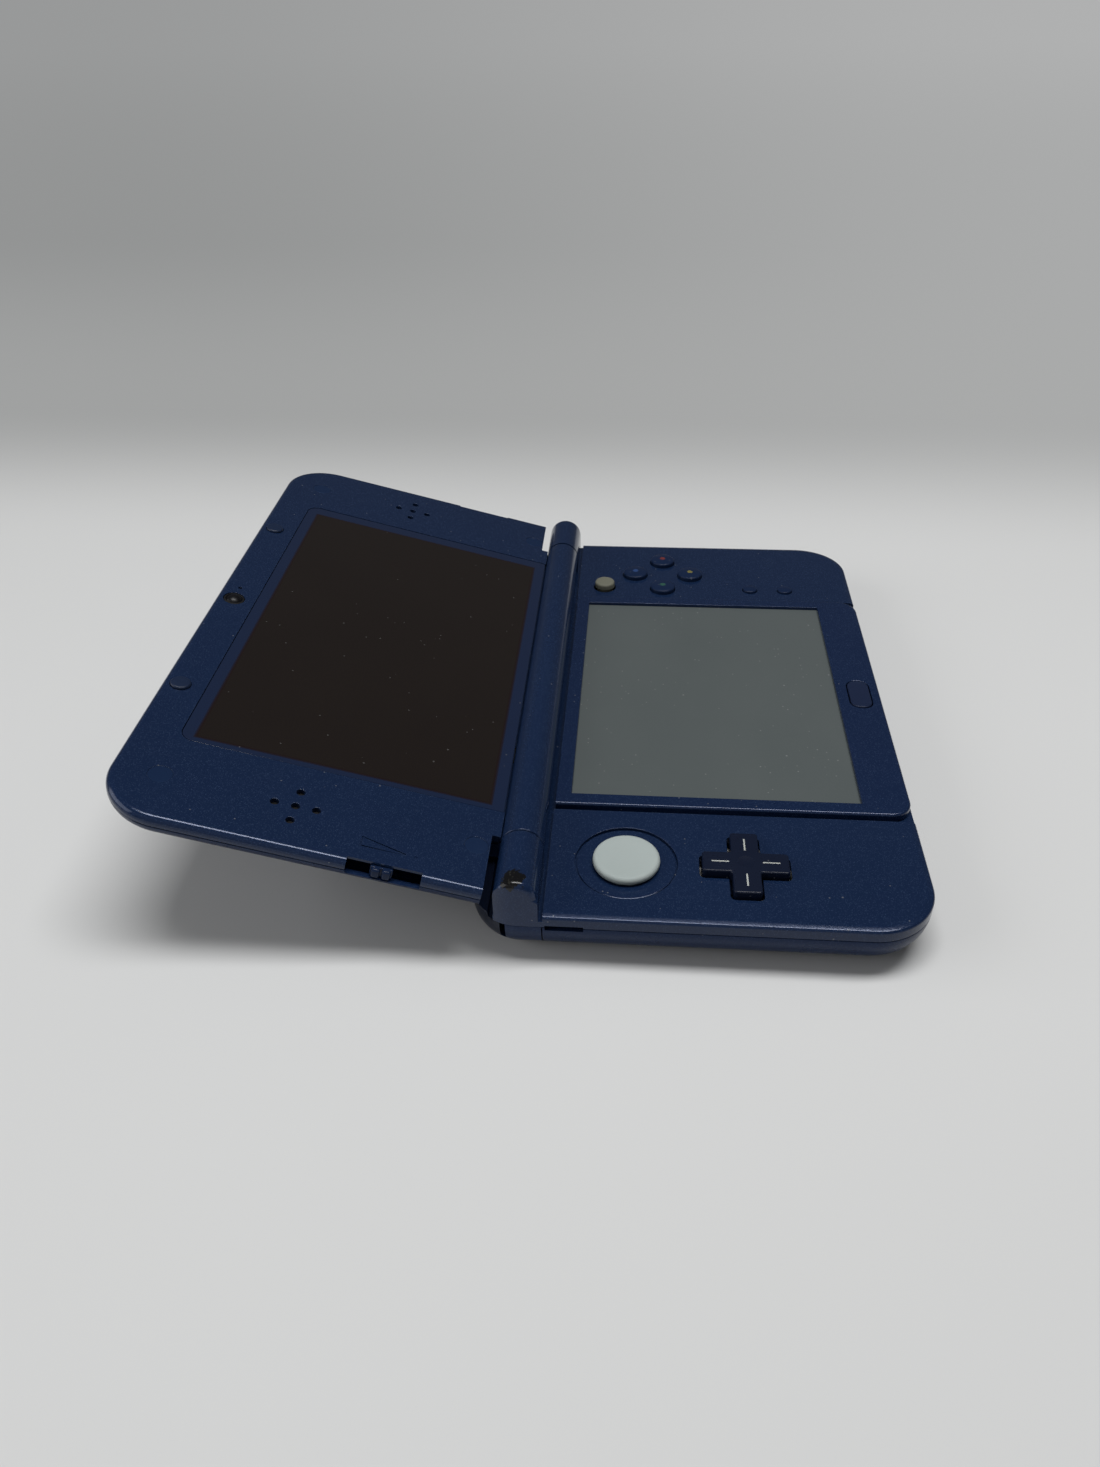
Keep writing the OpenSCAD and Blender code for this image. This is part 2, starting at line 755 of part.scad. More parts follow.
module circle_pad_slider() {
    foot_z = carriage_z + carriage_t + 0.1;
    color("white") translate([pad_x, pad_y, 0]) {
        span([-4.4, -5, foot_z], [4.4, 5, foot_z + 1]);
        translate([0, 0, foot_z + eps]) cylinder(h = pad_plate_z - foot_z - eps, r = 3);
    }
}

module circle_pad_cap() {
    color("whitesmoke") translate([pad_x, pad_y, 0]) {
        translate([0, 0, pad_plate_z + eps]) cylinder(h = deck_h - pad_plate_z, r = 3);
        translate([0, 0, pad_plate_z]) cylinder(h = 0.5, r = 9.8);
        rotate_extrude() polygon([
            [0, deck_h - 0.1], [pad_cap_r - 1.2, deck_h], [pad_cap_r - 0.2, deck_h + 0.1],
            [pad_cap_r, deck_h + 0.4], [pad_cap_r, deck_h + 0.9], [pad_cap_r - 0.4, deck_h + 1.35],
            [pad_cap_r - 1.3, deck_h + 1.6], [pad_cap_r - 2.4, deck_h + 1.52], [0, deck_h + 1.2]
        ]);
    }
}

// Ball that the cross pad rocks on
ball_r = 1.1;
ball_z = board_top + mat_t + 0.1 + ball_r;

module dpad_pivot() {
    color(dark) translate([dpad_x, dpad_y, ball_z]) sphere(ball_r);
}

module dpad() {
    foot_z = ball_z - 0.2;
    arm_z = foot_z + 0.3;
    color(dark) translate([dpad_x, dpad_y, 0]) difference() {
        union() {
            translate([0, 0, foot_z]) cylinder(h = 0.5, r = 6.6);
            translate([0, 0, arm_z]) linear_extrude(deck_h + dpad_rise - 0.4 + eps - arm_z)
                cross_shape(dpad_span, dpad_arm);
            translate([0, 0, deck_h + dpad_rise - 0.4]) linear_extrude(0.4)
                cross_shape(dpad_span - 0.8, dpad_arm - 0.8);
        }
        translate([0, 0, ball_z]) sphere(ball_r + 0.1);
    }
}

// ---------- keys ----------

// Face button towards the angle a
module face_button(a) {
    color(dark)
        round_key(face_x + face_pitch * cos(a), face_y + face_pitch * sin(a), face_r, deck_h + face_rise);
}

module face_button_right() {
    face_button(0);
}

module face_button_rear() {
    face_button(90);
}

module face_button_left() {
    face_button(180);
}

module face_button_front() {
    face_button(270);
}

module start_button() {
    color(dark) round_key(small_x, start_y, small_r, deck_h + 0.8);
}

module select_button() {
    color(dark) round_key(small_x, select_y, small_r, deck_h + 0.8);
}

module home_button() {
    color(dark) translate([0, home_y, 0]) {
        translate([0, 0, flange_top - flange_t]) linear_extrude(flange_t)
            round_rect(home_w + 1.2, home_d + 1, home_d / 2 - 0.2);
        translate([0, 0, flange_top - eps]) linear_extrude(deck_h + bezel_rise + 0.2 - flange_top)
            round_rect(home_w, home_d, home_d / 2 - 0.2);
    }
}

// Rubber mat under one set of keys, with a dome at each of the points
module key_mat(w, d, points) {
    translate([0, 0, board_top]) {
        linear_extrude(mat_t) round_rect(w, d, 2);
        for (p = points) translate([p.x, p.y, mat_t - eps]) cylinder(h = dome_t + eps, r1 = 1.5, r2 = 1.1);
    }
}

module key_membranes() {
    color("gainsboro") {
        translate([face_x, face_y]) key_mat(2 * face_pitch + 4, 2 * face_pitch + 4,
            [[face_pitch, 0], [0, face_pitch], [-face_pitch, 0], [0, -face_pitch]]);
        translate([small_x, (start_y + select_y) / 2])
            key_mat(7, select_pitch + 6, [[0, select_pitch / 2], [0, -select_pitch / 2]]);
        translate([0, home_y + 1.6]) key_mat(16, 4.4, [[-5, 0], [5, 0]]);
        translate([dpad_x, dpad_y]) key_mat(19, 19, [[6.5, 0], [0, 6.5], [-6.5, 0], [0, -6.5]]);
    }
}

nub_z = board_top + 1.9;

module pointing_nub() {
    color("tan") translate([small_x, nub_y, 0]) {
        translate([0, 0, nub_z]) cylinder(h = deck_h + 0.3 - nub_z, r = nub_r - 0.5);
        translate([0, 0, deck_h + 0.3 - eps]) cylinder(h = 1.2, r = nub_r);
        translate([0, 0, deck_h + 1.5 - 2 * eps]) cylinder(h = 0.5, r1 = nub_r, r2 = nub_r - 0.6);
    }
}

module nub_sensor() {
    color(dark) translate([small_x - 4, nub_y - 4, board_top]) cube([8, 8, nub_z - board_top]);
}

module power_button() {
    color(dark) translate([power_x, 0, power_z]) rotate([-90, 0, 0]) {
        translate([0, 0, front_y + 0.45]) linear_extrude(front_bay_d) round_rect(power_w, power_h, 1.2);
        translate([0, 0, front_y + front_bay_d + 0.35])
            linear_extrude(1.9) round_rect(power_w + 2, power_h + 1, 1.2);
    }
}

// ---------- shoulder buttons, triggers and stylus ----------

// Right-hand shoulder button, turning on an upright pin near its inner end
module shoulder_button() {
    difference() {
        intersection() {
            union() {
                base_form(0, split_z);
                base_column(0, split_z - eps, shoulder_top);
            }
            union() {
                span([shoulder_x + 0.2, pocket_back + pocket_gap, split_z - eps], [far, far, far]);
                span([shoulder_x + 0.2, pocket_low + pocket_gap, shoulder_bottom], [far, far, split_z]);
            }
        }
        translate([shoulder_pin_x, shoulder_pin_y, 0]) cylinder(h = far, r = shoulder_pin_r + pin_clear);
    }
}

module left_shoulder_button() {
    color(paint) mirror([1, 0, 0]) shoulder_button();
}

module right_shoulder_button() {
    color(paint) shoulder_button();
}

module shoulder_pins() {
    color(steel) both_sides() translate([shoulder_pin_x, shoulder_pin_y, pocket_floor - 0.9])
        cylinder(h = shoulder_top - pocket_floor + 0.6, r = shoulder_pin_r);
}

// Right-hand trigger beside the shoulder button
module trigger() {
    intersection() {
        union() {
            base_form(0, split_z);
            base_column(0, split_z - eps, shoulder_top);
        }
        union() {
            span([trigger_x, pocket_back + trigger_travel + 0.3, shoulder_bottom],
                [shoulder_x - 0.2, far, far]);
            span([trigger_x + 4, pocket_low + trigger_travel + 0.3, shoulder_bottom],
                [shoulder_x - 4, rear_y - 3, split_z - 0.6]);
        }
    }
}

module left_trigger() {
    color(dark) mirror([1, 0, 0]) trigger();
}

module right_trigger() {
    color(dark) trigger();
}

module stylus() {
    color(dark) translate([stylus_x, front_y + 0.9, stylus_z]) rotate([-90, 0, 0]) {
        cylinder(h = stylus_l - 9, r = stylus_r);
        translate([0, 0, stylus_l - 9 - eps]) cylinder(h = 6, r1 = stylus_r, r2 = 1);
        translate([0, 0, stylus_l - 3 - 2 * eps]) cylinder(h = 2, r = 1);
        translate([0, 0, stylus_l - 1 - 3 * eps]) sphere(1);
    }
}

// ---------- hinge ----------

barrel_end = barrel_len / 2;

module hinge_clutch() {
    color(steel) translate([0, axis_y, axis_h]) bar_x(barrel_end - pin_in, knuckle_in + pin_out, pin_r);
}

cable_bore = 1.6;
cable_r = 1.3;

module hinge_bushing() {
    color(steel) translate([0, axis_y, axis_h]) difference() {
        bar_x(-knuckle_in - pin_out, -barrel_end + pin_in, pin_r);
        bar_x(-knuckle_in - pin_out - 1, -barrel_end + pin_in + 1, cable_bore);
    }
}

neck_top = frame_floor - 0.7;
neck_bottom = cover_floor + seam;
// Lower part of the barrel's neck, under the upper screen, and the cable's height there
neck_low = frame_floor - upper_t - 0.4;
neck_end = 10;
tail_x = -36;
tail_w = 6;

module hinge_barrel() {
    color(paint) on_lid() difference() {
        union() {
            bar_x(-barrel_end, barrel_end, barrel_r);
            span([-barrel_end + 1.5, 0, neck_bottom], [barrel_end - 1.5, upper_v - 0.9, neck_top]);
            span([-barrel_end + 1.5, 0, neck_bottom], [barrel_end - 1.5, neck_end, neck_low]);
        }
        both_sides() bar_x(barrel_end - pin_in - 0.3, barrel_end + 1, pin_r + pin_clear);
        // cable way from the left bore into the lid
        bar_x(-barrel_end + pin_in - 1, tail_x + tail_w, cable_r + 0.5);
        span([tail_x - 0.3, 0, -cable_r - 0.4], [tail_x + tail_w, upper_v, -cable_r + 0.6]);
        span([tail_x - 0.3, upper_v - 2.4, neck_low], [tail_x + tail_w, upper_v, 0]);
    }
}

module display_cable() {
    tail_end = tail_x + tail_w - 0.6;
    bend_v = upper_v - 1.9;
    color("goldenrod") on_lid() {
        difference() {
            bar_x(-knuckle_in - pin_out + 0.5, tail_x + tail_w - 0.4, cable_r);
            bar_x(-knuckle_in - pin_out - 1, tail_x + tail_w, cable_r - 0.3);
        }
        span([tail_x, 0.3, -cable_r], [tail_end, bend_v, -cable_r + 0.2]);
        span([tail_x, bend_v - 0.2, neck_low + 0.05], [tail_end, bend_v, -cable_r + 0.1]);
        span([tail_x, bend_v - 0.1, neck_low + 0.05], [tail_end, neck_end + 3, neck_low + 0.25]);
    }
}

// ---------- lid ----------

// Outer form of the lid, set in by a wall, before its root is cut
module lid_form(inset) {
    slab(body_w - 2 * inset, -30, lid_reach - inset, 5, lid_corner_r - inset,
        lid_back + inset, lid_face - inset, lid_outer_r - inset, max(0, lid_inner_r - inset));
}

// Everything past the lid's root: v over the whole width, and nearer the axis between the knuckles
module lid_root_space(v_mid, low, high) {
    span([-far, lid_root, low], [far, far, high]);
    span([-barrel_end + 0.3, v_mid, low], [barrel_end - 0.3, far, high]);
}

// Holes of one speaker grille: one in the middle and four round it
module grille_places() {
    translate([speaker_x, speaker_v, 0]) {
        children();
        for (a = [0:90:270]) rotate([0, 0, a]) translate([speaker_pitch, 0, 0]) children();
    }
}

module screw_places() {
    for (v = [screw_near_v, screw_far_v]) translate([screw_x, v, 0]) children();
}

// Height where the frame's screw bosses meet the cover's
boss_mid = (lid_split + cover_floor) / 2 + 0.4;

module lid_inner_frame() {
    color(paint) on_lid() difference() {
        union() {
            difference() {
                intersection() {
                    lid_form(0);
                    lid_root_space(barrel_r + 0.2, lid_split, far);
                }
                // hollow behind the face
                intersection() {
                    lid_form(lid_wall);
                    span([-far, lid_root + lid_wall, -far], [far, far, frame_floor]);
                }
                span([-barrel_end - 1, 0, -far], [barrel_end + 1, neck_end + 0.5, neck_top + 0.1]);
                span([-barrel_end - 1, upper_v, -far], [barrel_end + 1, neck_end + 0.5, frame_floor]);
            }
            both_sides() screw_places() translate([0, 0, boss_mid])
                cylinder(h = frame_floor - boss_mid + 0.1, r = 2.3);
        }
        // lens seat, with a window through it
        span([-lens_w / 2 - seam, 0, frame_floor + 0.2],
            [lens_w / 2 + seam, lens_v + lens_h + seam, far]);
        span([-upper_w / 2 - 0.8, upper_v - 0.8, -far], [upper_w / 2 + 0.8, upper_v + upper_h + 0.8, far]);
        both_sides() {
            grille_places() translate([0, 0, -5]) cylinder(h = 10, r = speaker_hole_r);
            screw_places() {
                translate([0, 0, lid_face - 0.6]) cylinder(h = 2, r = screw_cover_r + 0.1);
                translate([0, 0, lid_face - 1.4]) cylinder(h = 2, r = 1.6);
                translate([0, 0, -5]) cylinder(h = 10, r = 0.8);
            }
            translate([bumper_x, camera_v + 0.3, lid_face - 0.5]) cylinder(h = 2, r = bumper_r + 0.1);
            // slider slot in the side, open at the edge of the face
            span([body_w / 2 - 2.4, slot_v, lid_split - 1], [far, slot_v + slot_l, lid_face - 0.55]);
            span([body_w / 2 - 1.6, slot_v, lid_split - 1], [far, slot_v + slot_l, far]);
        }
        translate([0, camera_v, -5]) cylinder(h = 10, r = camera_r + 0.15);
        translate([5.2, camera_v, -5]) cylinder(h = 10, r = 0.5);
    }
}

module lid_outer_cover() {
    color(paint) on_lid() difference() {
        union() {
            difference() {
                intersection() {
                    lid_form(0);
                    lid_root_space(lid_neck, -far, lid_split - seam);
                }
                intersection() {
                    lid_form(lid_wall);
                    span([-far, lid_root + lid_wall, -far], [far, far, far]);
                }
                span([-barrel_end + 1, 0, cover_floor], [barrel_end - 1, neck_end + 0.5, far]);
            }
            both_sides() screw_places() translate([0, 0, cover_floor - eps])
                cylinder(h = boss_mid - cover_floor - 0.1, r = 2);
        }
        bar_x(-far, far, barrel_r + 0.15);
        both_sides() {
            screw_places() {
                translate([0, 0, cover_floor + 0.2]) cylinder(h = 4, r = 0.6);
                translate([0, 0, boss_mid - 0.1]) cylinder(h = 4, r = 2.4);
            }
            span([body_w / 2 - 2.4, slot_v, lid_split - 1], [far, slot_v + slot_l, far]);
            translate([17.5, camera_v - 3, -far]) cylinder(h = far, r = 2.6);
        }
    }
}

module screen_lens() {
    color(dark) on_lid() span([-lens_w / 2, lens_v, frame_floor + 0.25],
        [lens_w / 2, lens_v + lens_h, frame_floor + 0.25 + lens_t]);
}

module upper_display() {
    color([0.1, 0.08, 0.08]) on_lid() span([-upper_w / 2 - 0.6, upper_v - 0.6, frame_floor + 0.2 - upper_t],
        [upper_w / 2 + 0.6, upper_v + upper_h + 0.6, frame_floor + 0.2]);
}

// Speaker behind the right-hand grille
module speaker() {
    on_lid() translate([speaker_x, speaker_v, frame_floor - 1.9]) linear_extrude(1.85) round_rect(13, 22, 3);
}

module left_speaker() {
    color(dark) mirror([1, 0, 0]) speaker();
}

module right_speaker() {
    color(dark) speaker();
}

module inner_camera() {
    color(dark) on_lid() translate([0, camera_v, 0]) {
        translate([0, 0, frame_floor - 1.5]) linear_extrude(1.45) round_rect(13, 5, 1);
        translate([0, 0, frame_floor - eps]) cylinder(h = lid_wall - 0.15, r = camera_r);
        translate([5.2, 0, frame_floor - 0.1]) cylinder(h = lid_wall - 0.1, r = 0.42);
    }
}

module outer_cameras() {
    color(dark) on_lid() {
        both_sides() translate([17.5, camera_v - 3, lid_back + 0.15]) cylinder(h = 2.4, r = 2.5);
        translate([0, camera_v - 3, cover_floor + 0.1]) linear_extrude(0.8) round_rect(42, 7, 1);
    }
}

module lid_bumpers() {
    color(dark) on_lid() both_sides() translate([bumper_x, camera_v + 0.3, lid_face - 0.48]) {
        cylinder(h = 0.8, r = bumper_r);
        translate([0, 0, 0.8 - eps]) cylinder(h = 0.3, r1 = bumper_r, r2 = bumper_r - 0.6);
    }
}

module screw_covers() {
    color(paint) on_lid() both_sides() screw_places()
        translate([0, 0, lid_face - 0.58]) cylinder(h = 0.55, r = screw_cover_r);
}

module lid_screws() {
    color(steel) on_lid() both_sides() screw_places() {
        translate([0, 0, cover_floor + 0.4]) cylinder(h = lid_face - cover_floor - 1.5, r = 0.55);
        translate([0, 0, lid_face - 1.38]) cylinder(h = 0.7, r = 1.5);
    }
}

// Slider in the right-hand slot, its knob a given way from the slot's near end
module slider(at) {
    v0 = slot_v + at;
    on_lid() {
        span([body_w / 2 - 2.2, v0, lid_split - 0.7], [body_w / 2 - 0.5, v0 + knob_l, lid_face - 0.75]);
        span([body_w / 2 - 5.5, v0 + 1, lid_split - 0.3],
            [body_w / 2 - 2.1, v0 + knob_l - 1, lid_face - 1.5]);
        for (i = [0:3]) translate([body_w / 2 - 0.5, v0 + 0.6 + i * (knob_l - 1.2) / 3, lid_split - 0.6])
            cylinder(h = frame_rim - 0.3, r = 0.3);
    }
}

module volume_slider() {
    color(paint) mirror([1, 0, 0]) slider(volume_at);
}

module depth_slider() {
    color(paint) slider(depth_at);
}

// ---------- drawing ----------

base_upper_case();
touch_bezel();
base_lower_case();
bottom_cover();
cover_screws();
case_screws();
touch_panel();
lower_display();
main_board();
battery();
card_slot();
memory_card_socket();
charging_socket();
headphone_socket();
wireless_module();
infrared_window();
status_lights();
circle_pad_ring();
circle_pad_housing();
circle_pad_carriage();
circle_pad_slider();
circle_pad_cap();
dpad_pivot();
dpad();
face_button_right();
face_button_front();
face_button_rear();
face_button_left();
start_button();
select_button();
home_button();
key_membranes();
pointing_nub();
nub_sensor();
power_button();
left_shoulder_button();
right_shoulder_button();
shoulder_pins();
left_trigger();
right_trigger();
stylus();
hinge_clutch();
hinge_bushing();
hinge_barrel();
display_cable();
lid_inner_frame();
lid_outer_cover();
screen_lens();
upper_display();
left_speaker();
right_speaker();
inner_camera();
outer_cameras();
lid_bumpers();
screw_covers();
lid_screws();
volume_slider();
depth_slider();
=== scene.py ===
"""Folding handheld game console, lying open: its shells, screens, keys, hinge and small parts, with their finishes.

Everything is modelled in millimetres. Form.done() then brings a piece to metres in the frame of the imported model.
"""

import logging
from dataclasses import dataclass, field, replace
from enum import Enum
from math import cos, pi, radians, sin
from typing import Callable, Sequence

import bmesh
import bpy
from mathutils import Matrix, Vector


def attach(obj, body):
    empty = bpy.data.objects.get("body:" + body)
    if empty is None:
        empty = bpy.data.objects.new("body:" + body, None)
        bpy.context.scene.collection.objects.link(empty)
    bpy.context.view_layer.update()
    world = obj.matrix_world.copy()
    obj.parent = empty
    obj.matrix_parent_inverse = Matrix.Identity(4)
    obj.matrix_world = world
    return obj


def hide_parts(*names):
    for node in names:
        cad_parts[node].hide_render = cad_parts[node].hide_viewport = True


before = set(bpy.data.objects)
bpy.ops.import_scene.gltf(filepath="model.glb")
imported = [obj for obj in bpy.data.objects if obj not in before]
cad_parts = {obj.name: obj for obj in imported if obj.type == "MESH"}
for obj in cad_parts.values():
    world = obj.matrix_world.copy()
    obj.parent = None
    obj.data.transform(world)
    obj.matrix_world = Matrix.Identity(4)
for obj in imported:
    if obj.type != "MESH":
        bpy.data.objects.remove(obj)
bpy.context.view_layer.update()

log = logging.getLogger("console")

Point = Sequence[float]
Ring = tuple[float, float]
EdgeTest = Callable[[bmesh.types.BMEdge], bool]

MM = 0.001
AXIS_Y, AXIS_Z = 37.0, 16.4
LID_TILT = radians(14.2)
# How far the cutting tools reach, past every face of the console.
OUTSIDE = 90.0
# Centres of the controls on the deck, which both its holes and the controls themselves follow.
CIRCLE_PAD = (-63.2, 15.4)
FACE_KEYS = (60.9, 7.2)
FACE_WAYS = {"right": (1, 0), "front": (0, -1), "rear": (0, 1), "left": (-1, 0)}
FACE_PITCH = 8.0
SMALL_KEYS = {"start": (53.3, -17.95), "select": (53.3, -27.85)}
NUB = (53.3, 24.0)
HOME = (0.0, -41.35)
# Axis of the stylus in the front edge, as (x, z).
STYLUS = (24.0, 5.6)


class Place(Enum):
    """Frame that a piece's millimetres are given in."""

    BASE = "base"
    LID = "lid"


class Join(Enum):
    """Ways in which two solids are combined."""

    ADD = "UNION"
    CUT = "DIFFERENCE"
    COMMON = "INTERSECT"


# ---------------------------------------------------------------- modelling


def upright(edge: bmesh.types.BMEdge) -> bool:
    """Tells whether an edge stands along Z."""
    a, b = (v.co for v in edge.verts)
    return abs(a.z - b.z) > 0.3 and abs(a.x - b.x) + abs(a.y - b.y) < 0.01


def along_y(edge: bmesh.types.BMEdge) -> bool:
    """Tells whether an edge runs from front to rear."""
    return abs(edge.verts[0].co.y - edge.verts[1].co.y) > 1


def at_level(edge: bmesh.types.BMEdge, z: float) -> bool:
    """Tells whether both ends of an edge lie at height z."""
    return all(abs(v.co.z - z) < 0.003 for v in edge.verts)


def crisp(edge: bmesh.types.BMEdge, least: float) -> bool:
    """Tells whether two faces meet at an edge by more than an angle.

    Args:
        edge: the edge that is tested.
        least: the smallest angle between the faces' normals, in degrees.

    Returns:
        True for such an edge.
    """
    return len(edge.link_faces) == 2 and edge.calc_face_angle(0.0) > radians(least)


def within(edge: bmesh.types.BMEdge, low: Point, high: Point) -> bool:
    """Tells whether both ends of an edge lie in a box."""
    return all(low[i] <= v.co[i] <= high[i] for v in edge.verts for i in range(3))


def arc(r: float, z: float, radius: float, start: float, end: float, steps: int) -> list[Ring]:
    """Lists rings along a rounding of a turned form.

    Args:
        r: distance of the rounding's centre from the axis.
        z: height of the rounding's centre.
        radius: radius of the rounding.
        start: first angle in degrees, from outwards towards up.
        end: last angle in degrees.
        steps: number of steps between them.

    Returns:
        The rings as (radius, height).
    """
    turn = [radians(start + (end - start) * i / steps) for i in range(steps + 1)]
    return [(max(r + radius * cos(t), 0.02), z + radius * sin(t)) for t in turn]


class Form:
    """A solid while it is being modelled, in millimetres."""

    def __init__(self, item: bpy.types.Object) -> None:
        """Keeps the object that holds the mesh."""
        self.item = item

    # -- starts

    @classmethod
    def added(cls, add: Callable[..., object], **values: object) -> "Form":
        """Adds a primitive by its operator, and moves its place into its mesh."""
        bpy.ops.object.select_all(action="DESELECT")
        add(**values)
        bpy.ops.object.transform_apply(location=True, rotation=True, scale=True)
        return cls(bpy.context.active_object)

    @classmethod
    def block(cls, low: Point, high: Point) -> "Form":
        """Starts from a block between two corners."""
        middle = [(a + b) / 2 for a, b in zip(low, high)]
        size = [b - a for a, b in zip(low, high)]
        return cls.added(bpy.ops.mesh.primitive_cube_add, size=1, location=middle, scale=size)

    @classmethod
    def rod(cls, start: Point, end: Point, radius: float, sides: int = 64) -> "Form":
        """Starts from a round rod between two points."""
        a, b = Vector(start), Vector(end)
        turn = (b - a).to_track_quat("Z", "Y").to_euler()
        return cls.added(bpy.ops.mesh.primitive_cylinder_add, vertices=sides, radius=radius, depth=(b - a).length,
                         location=(a + b) / 2, rotation=turn)

    @classmethod
    def ball(cls, centre: Point, radius: float, around: int, rings: int) -> "Form":
        """Starts from a ball with so many faces around it and rings up it."""
        return cls.added(bpy.ops.mesh.primitive_uv_sphere_add, segments=around, ring_count=rings, radius=radius,
                         location=centre)

    @classmethod
    def turned(cls, x: float, y: float, rings: Sequence[Ring], sides: int = 72) -> "Form":
        """Turns a solid about an upright axis by extruding and scaling a disc from ring to ring.

        Args:
            x: place of the axis.
            y: place of the axis.
            rings: the outline as (radius, height), from the foot to the top.
            sides: number of sides.

        Returns:
            The closed solid.
        """
        form = cls.added(bpy.ops.mesh.primitive_circle_add, vertices=sides, radius=rings[0][0], fill_type="NGON",
                         location=(x, y, rings[0][1]))
        form.edit()
        bpy.ops.mesh.select_mode(type="FACE")
        bpy.ops.mesh.select_all(action="SELECT")
        for (ra, za), (rb, zb) in zip(rings, rings[1:]):
            bpy.ops.mesh.extrude_region_move(TRANSFORM_OT_translate={"value": (0, 0, zb - za)})
            bpy.ops.transform.resize(value=(rb / ra, rb / ra, 1), center_override=(x, y, zb))
        bpy.ops.mesh.select_all(action="SELECT")
        bpy.ops.mesh.normals_make_consistent(inside=False)
        form.leave()
        return form

    @classmethod
    def slab(cls, wide: float, y0: float, y1: float, r0: float, r1: float, z0: float, z1: float,
             low_r: float = 0.0, top_r: float = 0.0, steps: int = 9) -> "Form":
        """Starts from a plate whose corners and edges are rounded.

        Args:
            wide: width along X, centred.
            y0: front face.
            y1: rear face.
            r0: radius of the front corners.
            r1: radius of the rear corners.
            z0: underside.
            z1: top.
            low_r: radius of the lower edge.
            top_r: radius of the upper edge.
            steps: steps in each edge's rounding.

        Returns:
            The plate.
        """
        form = cls.block((-wide / 2, y0, z0), (wide / 2, y1, z1))
        middle = (y0 + y1) / 2
        form.bevel(lambda e: upright(e) and e.verts[0].co.y < middle and len(e.link_faces) == 2, r0, 20)
        form.bevel(lambda e: upright(e) and crisp(e, 80) and e.verts[0].co.y > middle, r1, 20)
        if top_r > 0:
            form.bevel(lambda e: at_level(e, z1), top_r, steps)
        if low_r > 0:
            form.bevel(lambda e: at_level(e, z0), low_r, steps)
        return form

    @classmethod
    def of_node(cls, node: str) -> "Form":
        """Starts from a merged copy of a CAD node."""
        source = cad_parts[node]
        item = bpy.data.objects.new(node + "_form", source.data.copy())
        bpy.context.collection.objects.link(item)
        item.data.materials.clear()
        item.scale = (1 / MM,) * 3
        form = cls(item)
        form.only()
        bpy.ops.object.transform_apply(location=True, rotation=True, scale=True)
        bpy.ops.mesh.customdata_custom_splitnormals_clear()
        form.edit()
        bpy.ops.mesh.select_all(action="SELECT")
        bpy.ops.mesh.remove_doubles(threshold=0.0008)
        bpy.ops.mesh.dissolve_limited(angle_limit=radians(0.4))
        form.leave()
        return form

    # -- tools

    def only(self) -> None:
        """Selects this object alone and makes it active."""
        bpy.ops.object.select_all(action="DESELECT")
        self.item.select_set(True)
        bpy.context.view_layer.objects.active = self.item

    def edit(self) -> None:
        """Enters edit mode with nothing selected."""
        self.only()
        bpy.ops.object.mode_set(mode="EDIT")
        bpy.ops.mesh.select_mode(type="VERT")
        bpy.ops.mesh.select_all(action="DESELECT")

    @staticmethod
    def leave() -> None:
        """Goes back to object mode."""
        bpy.ops.object.mode_set(mode="OBJECT")

    def pick(self, test: EdgeTest) -> int:
        """Selects edges in edit mode.

        Args:
            test: tells whether an edge is wanted.

        Returns:
            How many were selected.
        """
        bpy.ops.mesh.select_mode(type="EDGE")
        net = bmesh.from_edit_mesh(self.item.data)
        wanted = [e for e in net.edges if test(e)]
        for edge in wanted:
            edge.select_set(True)
        net.select_flush_mode()
        bmesh.update_edit_mesh(self.item.data)
        return len(wanted)

    def bevel(self, test: EdgeTest, radius: float, steps: int = 3) -> "Form":
        """Rounds the edges that pass a test."""
        self.edit()
        if self.pick(test):
            bpy.ops.mesh.bevel(offset=radius, offset_type="OFFSET", segments=steps, profile=0.5, affect="EDGES",
                               clamp_overlap=False)
        self.leave()
        return self

    def combine(self, other: "Form", way: Join) -> "Form":
        """Combines this solid with another, which is used up."""
        before = self.item.data.copy()
        for solver in ("MANIFOLD", "EXACT"):
            tool = self.item.modifiers.new("combine", "BOOLEAN")
            tool.operation, tool.solver, tool.object = way.value, solver, other.item
            self.only()
            bpy.ops.object.modifier_apply(modifier=tool.name)
            if len(self.item.data.polygons) > 3:
                break
            log.info("solver %s left nothing of %s", solver, self.item.name)
            self.item.data = before.copy()
        bpy.data.meshes.remove(before)
        bpy.data.objects.remove(other.item, do_unlink=True)
        return self

    def cut(self, *others: "Form") -> "Form":
        """Takes other solids away."""
        for other in others:
            self.combine(other, Join.CUT)
        return self

    def add(self, *others: "Form") -> "Form":
        """Adds other solids."""
        for other in others:
            self.combine(other, Join.ADD)
        return self

    def keep(self, low: Point, high: Point) -> "Form":
        """Keeps what lies in a box."""
        return self.combine(Form.block(low, high), Join.COMMON)

    def copy(self, matrix: Matrix) -> "Form":
        """Copies the solid with its own mesh, moved by a matrix."""
        item = bpy.data.objects.new(self.item.name + "_copy", self.item.data.copy())
        bpy.context.collection.objects.link(item)
        item.data.transform(matrix)
        return Form(item)

    def drop(self) -> None:
        """Removes a solid that was only a model for its copies."""
        bpy.data.objects.remove(self.item, do_unlink=True)

    def merge(self, *others: "Form") -> "Form":
        """Puts other solids that don't touch this one into the same mesh."""
        self.only()
        for other in others:
            other.item.select_set(True)
        bpy.ops.object.join()
        return self

